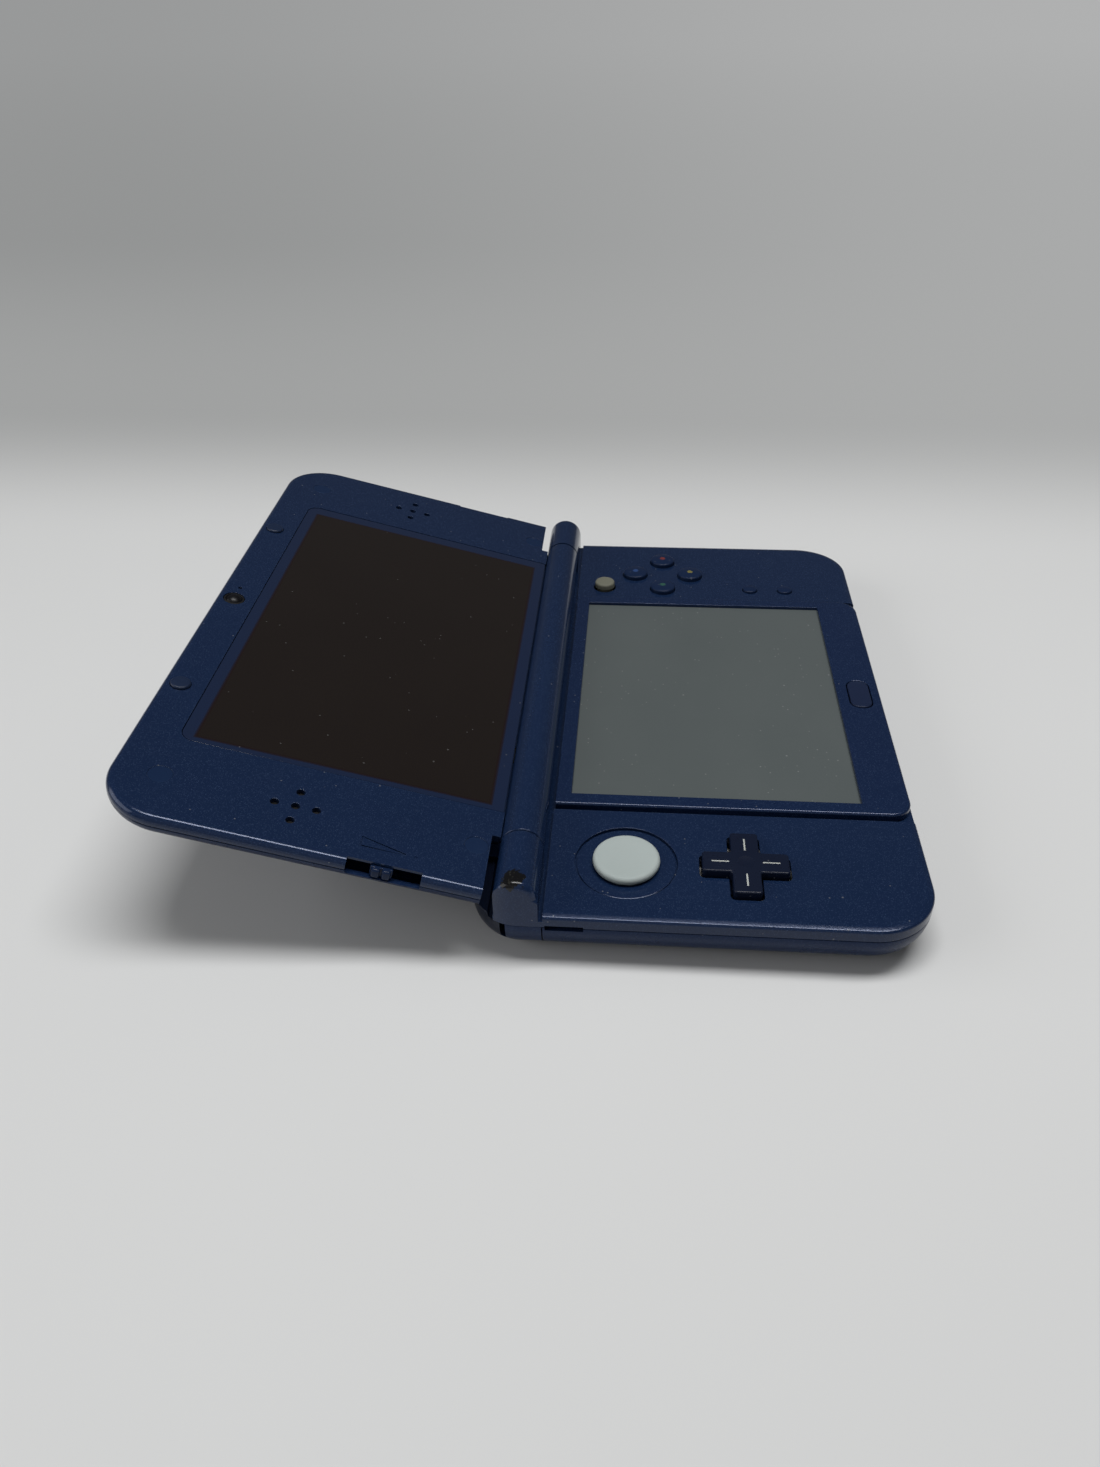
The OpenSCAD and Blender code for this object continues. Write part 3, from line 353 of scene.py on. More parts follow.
    def done(self, name: str, body: str, finish: "Finish", slot: str, *nodes: str,
             place: Place = Place.BASE, smooth: float = 32.0) -> bpy.types.Object:
        """Finishes a piece: smooth shading, its place in metres, its finish and the body it rides on.

        Args:
            name: the piece's name.
            body: the CAD body that it moves with.
            finish: its finish.
            slot: the record's material slot; not used.
            nodes: CAD nodes that it stands for.
            place: the frame that its millimetres are in.
            smooth: angle up to which faces are shaded as one, in degrees.

        Returns:
            The finished object.
        """
        item = self.item
        if place is Place.LID:
            item.data.transform(Matrix.Translation((0, AXIS_Y, AXIS_Z)) @ Matrix.Rotation(LID_TILT, 4, "X"))
        item.data.transform(Matrix.Scale(MM, 4))
        self.only()
        bpy.ops.object.shade_smooth_by_angle(angle=radians(smooth))
        weigh = item.modifiers.new("weighted", "WEIGHTED_NORMAL")
        weigh.keep_sharp = True
        weigh.weight = 60
        bpy.ops.object.modifier_apply(modifier=weigh.name)
        item.name = item.data.name = name
        item.data.materials.clear()
        item.data.materials.append(finish.material())
        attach(item, body)
        if nodes:
            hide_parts(*nodes)
        log.info("%s: %d faces, rides on %s", name, len(item.data.polygons), body)
        return item


# ---------------------------------------------------------------- node groups


class Weave:
    """A node tree under construction, with short ways to add and link nodes."""

    def __init__(self, tree: bpy.types.NodeTree) -> None:
        """Keeps the tree."""
        self.tree = tree

    def add(self, kind: str, **values: object) -> bpy.types.Node:
        """Adds a node.

        Args:
            kind: the node's type.
            values: properties of the node, and values or links of its sockets as in put().

        Returns:
            The node.
        """
        node = self.tree.nodes.new(kind)
        later = {}
        for key, value in values.items():
            if hasattr(node, key):
                setattr(node, key, value)
            else:
                later[key] = value
        self.put(node, **later)
        return node

    def put(self, node: bpy.types.Node, **values: object) -> None:
        """Sets or links sockets of a node.

        Args:
            node: the node.
            values: values or links by the sockets' names, with _ for a space, or by i and their number.
        """
        for key, value in values.items():
            numbered = key[0] == "i" and key[1:].isdigit()
            self.feed(value, node.inputs[int(key[1:]) if numbered else key.replace("_", " ")])

    def feed(self, value: object, socket: bpy.types.NodeSocket) -> None:
        """Sets a socket to a number or colour, or links it to another socket."""
        if isinstance(value, bpy.types.NodeSocket):
            self.tree.links.new(value, socket)
        else:
            socket.default_value = value

    def math(self, way: str, a: object, b: object = 0.0, clamp: bool = False) -> bpy.types.NodeSocket:
        """Adds a Math node and returns its value."""
        return self.add("ShaderNodeMath", operation=way, use_clamp=clamp, i0=a, i1=b).outputs[0]

    def plus(self, a: object, b: object, clamp: bool = False) -> bpy.types.NodeSocket:
        """Returns the sum of two values."""
        return self.math("ADD", a, b, clamp)

    def minus(self, a: object, b: object) -> bpy.types.NodeSocket:
        """Returns the difference of two values."""
        return self.math("SUBTRACT", a, b)

    def times(self, a: object, b: object, clamp: bool = False) -> bpy.types.NodeSocket:
        """Returns the product of two values."""
        return self.math("MULTIPLY", a, b, clamp)

    def ramp(self, value: object, low: float, high: float, to_low: float = 0.0,
             to_high: float = 1.0) -> bpy.types.NodeSocket:
        """Adds a smooth step from one range to another and returns its value."""
        return self.add("ShaderNodeMapRange", interpolation_type="SMOOTHSTEP", Value=value, From_Min=low,
                        From_Max=high, To_Min=to_low, To_Max=to_high).outputs[0]

    def noise(self, where: object, scale: float, detail: float = 3.0, rough: float = 0.5) -> bpy.types.NodeSocket:
        """Adds a Noise Texture and returns its value."""
        return self.add("ShaderNodeTexNoise", Vector=where, Scale=scale, Detail=detail,
                        Roughness=rough).outputs["Fac"]

    def mix(self, share: object, a: object, b: object) -> bpy.types.NodeSocket:
        """Mixes two colours and returns the result."""
        return self.add("ShaderNodeMix", data_type="RGBA", i0=share, i6=a, i7=b).outputs[2]

    def stretched(self, where: object, scale: Point, turn: Point = (0, 0, 0),
                  shift: Point = (0, 0, 0)) -> bpy.types.NodeSocket:
        """Adds a Mapping node and returns its vector."""
        return self.add("ShaderNodeMapping", Vector=where, Scale=scale, Rotation=turn, Location=shift).outputs[0]


FLOAT, VECTOR = "NodeSocketFloat", "NodeSocketVector"


def new_group(name: str, inputs: dict[str, float],
              outputs: dict[str, str]) -> tuple[Weave, bpy.types.Node, bpy.types.Node]:
    """Starts a node group that takes a place, as Vector, and some numbers.

    Args:
        name: the group's name.
        inputs: each number's name and default.
        outputs: each result's name and socket type.

    Returns:
        The weave of the group's tree, its input node and its output node.
    """
    tree = bpy.data.node_groups.new(name, "ShaderNodeTree")
    tree.interface.new_socket("Vector", in_out="INPUT", socket_type=VECTOR)
    for key, value in inputs.items():
        tree.interface.new_socket(key, in_out="INPUT", socket_type=FLOAT).default_value = value
    for key, kind in outputs.items():
        tree.interface.new_socket(key, in_out="OUTPUT", socket_type=kind)
    w = Weave(tree)
    return w, w.add("NodeGroupInput"), w.add("NodeGroupOutput")


class Effects:
    """Node groups that several finishes share, each built once."""

    def __init__(self) -> None:
        """Starts with none built."""
        self.made: dict[str, bpy.types.NodeTree] = {}

    def get(self, name: str) -> bpy.types.NodeTree:
        """Returns a group by name, built on its first use."""
        if name not in self.made:
            self.made[name] = getattr(self, "_" + name)()
        return self.made[name]

    @staticmethod
    def _grain() -> bpy.types.NodeTree:
        """Builds the fine spark-eroded grain of moulded plastic: a height and a slow mottle."""
        w, gate, end = new_group("moulded_grain", {"Size": 0.25}, {"Height": FLOAT, "Mottle": FLOAT})
        scale = w.math("DIVIDE", 1000.0, gate.outputs["Size"])
        fine = w.add("ShaderNodeTexNoise", Vector=gate.outputs["Vector"], Scale=scale, Detail=2.0, Roughness=0.55)
        cells = w.add("ShaderNodeTexVoronoi", Vector=gate.outputs["Vector"], Scale=w.times(scale, 0.6))
        w.put(end, Height=w.plus(fine.outputs["Fac"], w.times(cells.outputs["Distance"], 0.6)),
              Mottle=w.noise(gate.outputs["Vector"], 38.0, 4.0, 0.6))
        return w.tree

    @staticmethod
    def _flake() -> bpy.types.NodeTree:
        """Builds the tiny mirror flakes of pearl lacquer: a sparkle mask and a tilted normal."""
        w, gate, end = new_group("pearl_flake", {"Size": 0.12, "Tilt": 0.12}, {"Sparkle": FLOAT, "Normal": VECTOR})
        cells = w.add("ShaderNodeTexVoronoi", Vector=gate.outputs["Vector"],
                      Scale=w.math("DIVIDE", 1000.0, gate.outputs["Size"]))
        tone = w.add("ShaderNodeSeparateColor", Color=cells.outputs["Color"])
        lean = w.add("ShaderNodeVectorMath", operation="SUBTRACT", i0=cells.outputs["Color"], i1=(0.5, 0.5, 0.5))
        lean = w.add("ShaderNodeVectorMath", operation="SCALE", i0=lean.outputs[0], Scale=gate.outputs["Tilt"])
        true = w.add("ShaderNodeNewGeometry")
        tipped = w.add("ShaderNodeVectorMath", operation="ADD", i0=true.outputs["Normal"], i1=lean.outputs[0])
        unit = w.add("ShaderNodeVectorMath", operation="NORMALIZE", i0=tipped.outputs[0])
        w.put(end, Sparkle=w.ramp(tone.outputs[0], 0.82, 1.0), Normal=unit.outputs[0])
        return w.tree

    @staticmethod
    def _dust() -> bpy.types.NodeTree:
        """Builds settled dust: scattered specks, with more of them in soft patches."""
        w, gate, end = new_group("settled_dust", {"Amount": 0.4}, {"Mask": FLOAT})
        at = gate.outputs["Vector"]
        patch = w.ramp(w.noise(at, 55.0, 3.0), 0.42, 0.68)
        least = w.minus(1.0, w.times(gate.outputs["Amount"], w.plus(w.times(patch, 0.5), 0.12)))
        total: object = 0.0
        for scale, size in ((950.0, 0.085), (430.0, 0.05)):
            cells = w.add("ShaderNodeTexVoronoi", Vector=at, Scale=scale)
            tone = w.add("ShaderNodeSeparateColor", Color=cells.outputs["Color"])
            chosen = w.math("GREATER_THAN", tone.outputs[1], least)
            spot = w.ramp(cells.outputs["Distance"], size, size * 2.6, 1.0, 0.0)
            total = w.plus(total, w.times(chosen, spot))
        w.put(end, Mask=w.math("MINIMUM", total, 1.0))
        return w.tree

    @staticmethod
    def _scuff() -> bpy.types.NodeTree:
        """Builds hairline scuffs from thin bands of stretched noise in three directions."""
        w, gate, end = new_group("hairline_scuff", {"Amount": 0.5}, {"Mask": FLOAT})
        at = gate.outputs["Vector"]
        total: object = 0.0
        for turn, shift in (((0.0, 0.0, 0.35), 0.0), ((0.2, 0.1, 1.25), 3.1), ((0.1, 0.4, 2.2), 7.7)):
            long = w.stretched(at, (1500.0, 60.0, 700.0), turn, (shift, shift, shift))
            hair = w.ramp(w.math("ABSOLUTE", w.minus(w.noise(long, 1.0, 0.0), 0.5)), 0.0, 0.012, 1.0, 0.0)
            here = w.ramp(w.noise(w.stretched(at, (1, 1, 1), shift=(shift, 0, 0)), 90.0, 1.0), 0.6, 0.72)
            total = w.plus(total, w.times(hair, here))
        w.put(end, Mask=w.times(total, gate.outputs["Amount"], True))
        return w.tree

    @staticmethod
    def _edge() -> bpy.types.NodeTree:
        """Builds edge wear: where the surface turns within a small radius, broken up by noise."""
        w, gate, end = new_group("edge_wear", {"Radius": 0.0005, "Amount": 0.5}, {"Mask": FLOAT})
        bend = w.add("ShaderNodeBevel", samples=4, Radius=gate.outputs["Radius"])
        true = w.add("ShaderNodeNewGeometry")
        turn = w.add("ShaderNodeVectorMath", operation="DOT_PRODUCT", i0=bend.outputs[0], i1=true.outputs["Normal"])
        rub = w.ramp(turn.outputs["Value"], 0.97, 0.8)
        broken = w.ramp(w.noise(gate.outputs["Vector"], 420.0, 5.0, 0.65), 0.46, 0.62)
        w.put(end, Mask=w.times(w.times(rub, broken), gate.outputs["Amount"], True))
        return w.tree


effects = Effects()


# ---------------------------------------------------------------- finishes


class Finish:
    """A surface finish, whose material is made once."""

    made: dict[str, bpy.types.Material] = {}
    name: str

    def material(self) -> bpy.types.Material:
        """Returns the material, built on first use."""
        if self.name not in Finish.made:
            stuff = bpy.data.materials.new(self.name)
            stuff.use_nodes = True
            stuff.node_tree.nodes.clear()
            w = Weave(stuff.node_tree)
            shader = w.add("ShaderNodeBsdfPrincipled")
            w.add("ShaderNodeOutputMaterial", Surface=shader.outputs[0])
            at = w.add("ShaderNodeTexCoord").outputs["Object"]
            self.paint(w, shader, at)
            Finish.made[self.name] = stuff
        return Finish.made[self.name]

    def paint(self, w: Weave, shader: bpy.types.Node, at: bpy.types.NodeSocket) -> None:
        """Feeds the shader; each finish has its own."""
        raise NotImplementedError

    @staticmethod
    def dent(w: Weave, shader: bpy.types.Node, height: object, strength: float, depth: float,
             normal: object = None) -> None:
        """Feeds the shader's normal through a bump.

        Args:
            w: the weave of the material's tree.
            shader: the material's shader.
            height: the height that varies over the surface, 0 to 1.
            strength: how strongly the bump acts.
            depth: how deep a height of 1 is, in millimetres.
            normal: the normal that the bump starts from, or None for the surface's own.
        """
        bump = w.add("ShaderNodeBump", Strength=strength, Distance=depth * MM, Height=height)
        if normal is not None:
            w.put(bump, Normal=normal)
        w.put(shader, Normal=bump.outputs[0])

    @staticmethod
    def effect(w: Weave, name: str, at: object, **values: float) -> bpy.types.Node:
        """Places a shared effect with its own values."""
        return w.add("ShaderNodeGroup", node_tree=effects.get(name), Vector=at, **values)


Colour = tuple[float, float, float]


def rgba(colour: Colour) -> tuple[float, float, float, float]:
    """Adds full alpha to a colour."""
    return (*colour, 1.0)


@dataclass(frozen=True)
class Plastic(Finish):
    """Moulded or lacquered plastic with grain, flake, dust, hairline scuffs and worn edges."""

    name: str
    colour: Colour
    light: Colour
    rough: float = 0.4
    rough_spread: float = 0.08
    grain: float = 0.25
    relief: float = 0.010
    flake: float = 0.0
    flake_colour: Colour = (0.10, 0.16, 0.30)
    dust: float = 0.09
    scuff: float = 0.35
    wear: float = 0.3
    wear_colour: Colour = (0.10, 0.14, 0.22)
    metallic: float = 0.0
    coat: float = 0.0
    coat_rough: float = 0.12
    specular: float = 0.25
    chip_at: Point | None = None
    chip_reach: float = 0.0018
    chip_colour: Colour = (0.020, 0.018, 0.010)
    chip_pale: float = 0.8

    def paint(self, w: Weave, shader: bpy.types.Node, at: bpy.types.NodeSocket) -> None:
        """Feeds colour, roughness and bump."""
        grain = self.effect(w, "grain", at, Size=self.grain)
        dust = self.effect(w, "dust", at, Amount=self.dust)
        scuff = self.effect(w, "scuff", at, Amount=self.scuff)
        wear = self.effect(w, "edge", at, Radius=0.0004, Amount=self.wear)
        colour = w.mix(grain.outputs["Mottle"], rgba(self.colour), rgba(self.light))
        normal = None
        if self.flake > 0:
            flake = self.effect(w, "flake", at, Size=0.14, Tilt=0.05)
            colour = w.mix(w.times(flake.outputs["Sparkle"], self.flake), colour, rgba(self.flake_colour))
            normal = flake.outputs["Normal"]
        colour = w.mix(w.times(scuff.outputs["Mask"], 0.25), colour, rgba(self.wear_colour))
        colour = w.mix(wear.outputs["Mask"], colour, rgba(self.wear_colour))
        if self.chip_at is not None:
            colour = self.chips(w, at, colour)
        colour = w.mix(w.times(dust.outputs["Mask"], 0.4), colour, rgba((0.22, 0.23, 0.24)))
        spread = w.times(w.minus(grain.outputs["Mottle"], 0.5), self.rough_spread * 2)
        dull = w.times(w.math("MAXIMUM", dust.outputs["Mask"], wear.outputs["Mask"]), 0.25)
        w.put(shader, Base_Color=colour, Roughness=w.plus(w.plus(self.rough, spread), dull, True),
              Metallic=self.metallic, Coat_Weight=self.coat, Coat_Roughness=self.coat_rough,
              Specular_IOR_Level=self.specular)
        height = w.minus(grain.outputs["Height"], w.times(scuff.outputs["Mask"], 0.8))
        self.dent(w, shader, w.plus(height, w.times(dust.outputs["Mask"], 2.0)), 0.5, self.relief, normal)

    def chips(self, w: Weave, at: object, colour: object) -> bpy.types.NodeSocket:
        """Adds paint rubbed off round one spot, down to dark plastic with bits of pale primer."""
        away = w.add("ShaderNodeVectorMath", operation="DISTANCE", i0=at, i1=self.chip_at)
        ragged = w.times(w.noise(at, 700.0, 6.0, 0.7), self.chip_reach * 2)
        worn = w.ramp(w.minus(ragged, away.outputs["Value"]), 0.0, self.chip_reach * 0.15)
        pale = w.times(w.ramp(w.noise(at, 1300.0, 3.0), 0.56, 0.64), self.chip_pale)
        under = w.mix(pale, rgba(self.chip_colour), rgba((0.26, 0.27, 0.20)))
        return w.mix(worn, colour, under)


@dataclass(frozen=True)
class Lens(Finish):
    """Clear cover sheet of the upper screen: a lacquered border round a dark display."""

    name: str
    border: Colour
    display: Colour
    glow: Colour
    centre: tuple[float, float] = (-1.05, 39.6)
    half_size: tuple[float, float] = (52.75, 31.6)
    seal_colour: Colour = (0.010, 0.004, 0.004)

    def paint(self, w: Weave, shader: bpy.types.Node, at: bpy.types.NodeSocket) -> None:
        """Feeds the border and the display by their place on the lid."""
        parts = w.add("ShaderNodeSeparateXYZ", Vector=w.stretched(at, (1 / MM,) * 3))
        along = w.plus(w.times(w.minus(parts.outputs["Y"], AXIS_Y), cos(LID_TILT)),
                       w.times(w.minus(parts.outputs["Z"], AXIS_Z), sin(LID_TILT)))
        x, v = (w.math("ABSOLUTE", w.minus(place, middle))
                for place, middle in zip((parts.outputs["X"], along), self.centre))
        over = w.math("MAXIMUM", *(w.minus(place, half) for place, half in zip((x, v), self.half_size)))
        edge = w.ramp(over, -0.12, 0.12)
        seal = w.ramp(w.math("ABSOLUTE", over), 0.15, 0.55, 1.0, 0.0)
        haze = w.noise(at, 30.0, 3.0)
        display = w.mix(haze, rgba(self.display), rgba(self.glow))
        fine = self.effect(w, "scuff", at, Amount=0.35)
        dust = self.effect(w, "dust", at, Amount=0.08)
        colour = w.mix(edge, display, rgba(self.border))
        colour = w.mix(w.times(seal, 0.75), colour, rgba(self.seal_colour))
        colour = w.mix(w.times(dust.outputs["Mask"], 0.35), colour, rgba((0.2, 0.2, 0.2)))
        rough = w.plus(0.13, w.times(w.noise(at, 60.0, 4.0), 0.05))
        rough = w.plus(rough, w.times(fine.outputs["Mask"], 0.2), True)
        w.put(shader, Base_Color=colour, Roughness=rough, Specular_IOR_Level=0.5)
        self.dent(w, shader, w.minus(1.0, fine.outputs["Mask"]), 0.3, 0.01)


@dataclass(frozen=True)
class Film(Finish):
    """Matt touch film over the lower display, with faint stylus marks."""

    name: str
    colour: Colour
    light: Colour
    rough: float = 0.32
    dots_per_metre: float = 3760.0

    def paint(self, w: Weave, shader: bpy.types.Node, at: bpy.types.NodeSocket) -> None:
        """Feeds a faint pixel grid, smears and hairlines."""
        haze = w.noise(w.stretched(at, (1, 1.6, 1), (0, 0, 0.4)), 26.0, 4.0)
        across = w.add("ShaderNodeSeparateXYZ", Vector=at).outputs["X"]
        grid = w.times(w.math("SINE", w.times(across, 2 * pi * self.dots_per_metre)), 0.5)
        marks = self.effect(w, "scuff", at, Amount=0.5)
        dust = self.effect(w, "dust", at, Amount=0.22)
        colour = w.mix(haze, rgba(self.colour), rgba(self.light))
        colour = w.mix(w.times(w.plus(grid, 0.5), 0.03), colour, rgba((0.06, 0.07, 0.07)))
        colour = w.mix(w.times(dust.outputs["Mask"], 0.4), colour, rgba((0.35, 0.35, 0.35)))
        smear = w.times(w.minus(haze, marks.outputs["Mask"]), 0.12)
        w.put(shader, Base_Color=colour, Roughness=w.plus(self.rough, smear, True))
        self.dent(w, shader, w.minus(w.noise(at, 5200.0, 1.0), marks.outputs["Mask"]), 0.3, 0.012)


@dataclass(frozen=True)
class Steel(Finish):
    """Drawn or pressed metal with fine lines and dull spots."""

    name: str
    colour: Colour
    light: Colour
    rough: float = 0.3
    lines: Point = (600.0, 9000.0, 9000.0)

    def paint(self, w: Weave, shader: bpy.types.Node, at: bpy.types.NodeSocket) -> None:
        """Feeds lines along the metal and dull spots."""
        lines = w.noise(w.stretched(at, self.lines), 1.0, 3.0)
        dull = w.ramp(w.noise(at, 260.0, 5.0), 0.5, 0.75)
        share = w.plus(w.times(lines, 0.6), w.times(dull, 0.4))
        drag = w.plus(w.times(lines, 0.12), w.times(dull, 0.2))
        w.put(shader, Base_Color=w.mix(share, rgba(self.light), rgba(self.colour)),
              Roughness=w.plus(self.rough, drag), Metallic=1.0)
        self.dent(w, shader, lines, 0.3, 0.01)


@dataclass(frozen=True)
class Board(Finish):
    """Solder mask over copper, with tracks and gold pads."""

    name: str

    def paint(self, w: Weave, shader: bpy.types.Node, at: bpy.types.NodeSocket) -> None:
        """Feeds tracks and pads."""
        bricks = w.add("ShaderNodeTexBrick", Vector=w.stretched(at, (1, 1, 1), (0, 0, pi / 4)), Scale=420.0,
                       Mortar_Size=0.06)
        pads = w.add("ShaderNodeTexVoronoi", Vector=at, Scale=520.0, distance="CHEBYCHEV")
        pad = w.ramp(pads.outputs["Distance"], 0.16, 0.18, 1.0, 0.0)
        colour = w.mix(w.times(bricks.outputs["Fac"], 0.7), rgba((0.006, 0.045, 0.022)),
                       rgba((0.015, 0.10, 0.045)))
        colour = w.mix(pad, colour, rgba((0.55, 0.40, 0.12)))
        w.put(shader, Base_Color=colour, Metallic=pad, Roughness=w.plus(0.3, w.times(w.noise(at, 300.0), 0.15)))
        self.dent(w, shader, w.plus(bricks.outputs["Fac"], pad), 0.4, 0.04)


@dataclass(frozen=True)
class Glow(Finish):
    """Clear light guide or tinted window with moulding haze inside."""

    name: str
    colour: Colour
    light: Colour
    rough: float = 0.12
    coat: float = 0.6

    def paint(self, w: Weave, shader: bpy.types.Node, at: bpy.types.NodeSocket) -> None:
        """Feeds haze and a smooth surface."""
        haze = w.noise(at, 700.0, 4.0)
        w.put(shader, Base_Color=w.mix(haze, rgba(self.colour), rgba(self.light)),
              Roughness=w.plus(self.rough, w.times(haze, 0.1)), Coat_Weight=self.coat, Coat_Roughness=0.05,
              Specular_IOR_Level=0.25)
        self.dent(w, shader, haze, 0.2, 0.01)


NAVY: Colour = (0.0062, 0.0172, 0.0540)
NAVY_LIGHT: Colour = (0.0075, 0.0203, 0.0615)

lacquer = Plastic("navy_lacquer", NAVY, NAVY_LIGHT, rough=0.18, rough_spread=0.03, relief=0.002, flake=0.2, wear=0.15,
                  metallic=0.2, coat=0.12, coat_rough=0.06, specular=0.3)
knuckle_lacquer = replace(lacquer, name="navy_lacquer_chipped", wear=0.18, chip_at=(-0.0780, 0.0374, 0.0209),
                          chip_reach=0.0025, chip_colour=(0.006, 0.006, 0.007), chip_pale=0.06)
gloss_lacquer = replace(lacquer, name="navy_gloss", colour=(0.0056, 0.0158, 0.0530), light=(0.0069, 0.0188, 0.0600),
                        rough=0.2)
cover_lacquer = Plastic("navy_cover", (0.0062, 0.0165, 0.0530), (0.0075, 0.0195, 0.0600), rough=0.28, flake=0.15,
                        wear=0.12, metallic=0.2, specular=0.12)
cap_lacquer = Plastic("navy_caps", (0.0098, 0.0235, 0.0660), (0.0120, 0.0270, 0.0730), rough=0.30, wear=0.1,
                      metallic=0.25, specular=0.1)
shoulder_plastic = Plastic("shoulder_plastic", (0.0030, 0.0060, 0.0165), (0.0038, 0.0072, 0.0195), rough=0.3,
                           wear=0.15, specular=0.2)
key_plastic = Plastic("navy_keys", (0.0062, 0.0145, 0.0430), (0.0078, 0.0175, 0.0500), rough=0.28, dust=0.3,
                      wear=0.15, specular=0.15)
cross_plastic = Plastic("cross_pad_plastic", (0.0036, 0.0070, 0.0200), (0.0046, 0.0085, 0.0240), rough=0.30,
                        dust=0.25, wear=0.2)
home_plastic = Plastic("home_key_plastic", (0.0095, 0.0165, 0.0430), (0.0115, 0.0190, 0.0480), rough=0.34, dust=0.25,
                       wear=0.2, specular=0.15)
dark_plastic = Plastic("black_plastic", (0.007, 0.007, 0.008), (0.010, 0.010, 0.011), rough=0.45,
                       wear_colour=(0.04, 0.04, 0.04))
white_plastic = Plastic("white_plastic", (0.72, 0.73, 0.71), (0.78, 0.78, 0.76), rough=0.4, dust=0.1, scuff=0.2,
                        wear=0.1, wear_colour=(0.6, 0.6, 0.58))
pale_grip = Plastic("pale_grip", (0.35, 0.40, 0.39), (0.39, 0.44, 0.43), rough=0.62, grain=0.16, relief=0.02,
                    dust=0.12, scuff=0.15, wear=0.12, wear_colour=(0.42, 0.45, 0.44), specular=0.35,
                    chip_at=(-0.0692, 0.0152, 0.0138), chip_reach=0.00022, chip_colour=(0.05, 0.05, 0.04),
                    chip_pale=0.0)
tan_grip = Plastic("tan_grip", (0.130, 0.130, 0.100), (0.155, 0.155, 0.120), rough=0.7, grain=0.12, relief=0.03,
                   dust=0.2, scuff=0.1, wear=0.2, wear_colour=(0.2, 0.2, 0.17), specular=0.3)
bumper_rubber = Plastic("bumper_rubber", (0.006, 0.014, 0.040), (0.008, 0.018, 0.048), rough=0.36, grain=0.2,
                        dust=0.3, wear=0.15, specular=0.3)
silicone = Plastic("grey_silicone", (0.30, 0.30, 0.29), (0.36, 0.36, 0.35), rough=0.6, dust=0.2, wear=0.0)
battery_case = Plastic("battery_case", (0.09, 0.09, 0.10), (0.12, 0.12, 0.13), rough=0.5, grain=0.4, relief=0.03)
ribbon = Plastic("shielded_ribbon", (0.012, 0.012, 0.014), (0.018, 0.018, 0.021), rough=0.35, dust=0.1, wear=0.0)
steel = Steel("screw_steel", (0.30, 0.30, 0.31), (0.55, 0.55, 0.56), rough=0.28)
pressed_steel = Steel("pressed_steel", (0.42, 0.42, 0.43), (0.62, 0.62, 0.63), rough=0.34,
                      lines=(9000.0, 500.0, 9000.0))
board = Board("circuit_board")
camera_glass = Glow("camera_glass", (0.002, 0.002, 0.003), (0.004, 0.004, 0.006), rough=0.3, coat=0.0)
smoked_window = Glow("smoked_window", (0.012, 0.004, 0.008), (0.02, 0.008, 0.014))
light_guide = Glow("light_guide", (0.45, 0.55, 0.45), (0.6, 0.68, 0.58))
mark_white = Plastic("mark_white", (0.36, 0.38, 0.36), (0.44, 0.46, 0.44), rough=0.5, dust=0.1, wear=0.0, scuff=0.2)
upper_lens = Lens("upper_lens", (0.0075, 0.0155, 0.0440), (0.0092, 0.0063, 0.0056), (0.0118, 0.0084, 0.0069))
touch_film = Film("touch_film", (0.076, 0.090, 0.091), (0.090, 0.104, 0.104))
display_glass = Film("display_glass", (0.02, 0.02, 0.022), (0.03, 0.03, 0.032), rough=0.2)


def pip(name: str, colour: Colour) -> Plastic:
    """Returns the finish of a coloured mark on a key."""
    light = tuple(min(1.0, c * 1.25 + 0.01) for c in colour)
    return Plastic(name, colour, light, rough=0.35, dust=0.2, wear=0.0, scuff=0.2)


# ---------------------------------------------------------------- base


def lip_hole(x: float, y: float, r: float, z0: float, z1: float, lip: float = 0.18, sides: int = 64) -> Form:
    """Makes the tool that bores a round hole with a softened mouth.

    Args:
        x: place of the hole.
        y: place of the hole.
        r: radius.
        z0: depth that it reaches.
        z1: height of the surface.
        lip: radius of the rounding at the mouth.
        sides: number of sides.

    Returns:
        The tool.
    """
    flare = [(r + lip - lip * cos(radians(t)), z1 - lip + lip * sin(radians(t))) for t in (15, 35, 55, 75, 90)]
    return Form.turned(x, y, [(r, z0), (r, z1 - lip), *flare, (r + lip, z1 + 1)], sides)


def face_key_place(way: str) -> tuple[float, float]:
    """Returns the centre of the face key on one side of their cross."""
    dx, dy = FACE_WAYS[way]
    return FACE_KEYS[0] + dx * FACE_PITCH, FACE_KEYS[1] + dy * FACE_PITCH


def both_sides(make: Callable[[float], Form]) -> list[Form]:
    """Makes a form on the left and on the right."""
    return [make(-1.0), make(1.0)]


def side_block(side: float, x0: float, x1: float, y0: float, y1: float, z0: float, z1: float) -> Form:
    """Makes a block between two distances from the middle, on one side."""
    a, b = sorted((side * x0, side * x1))
    return Form.block((a, y0, z0), (b, y1, z1))


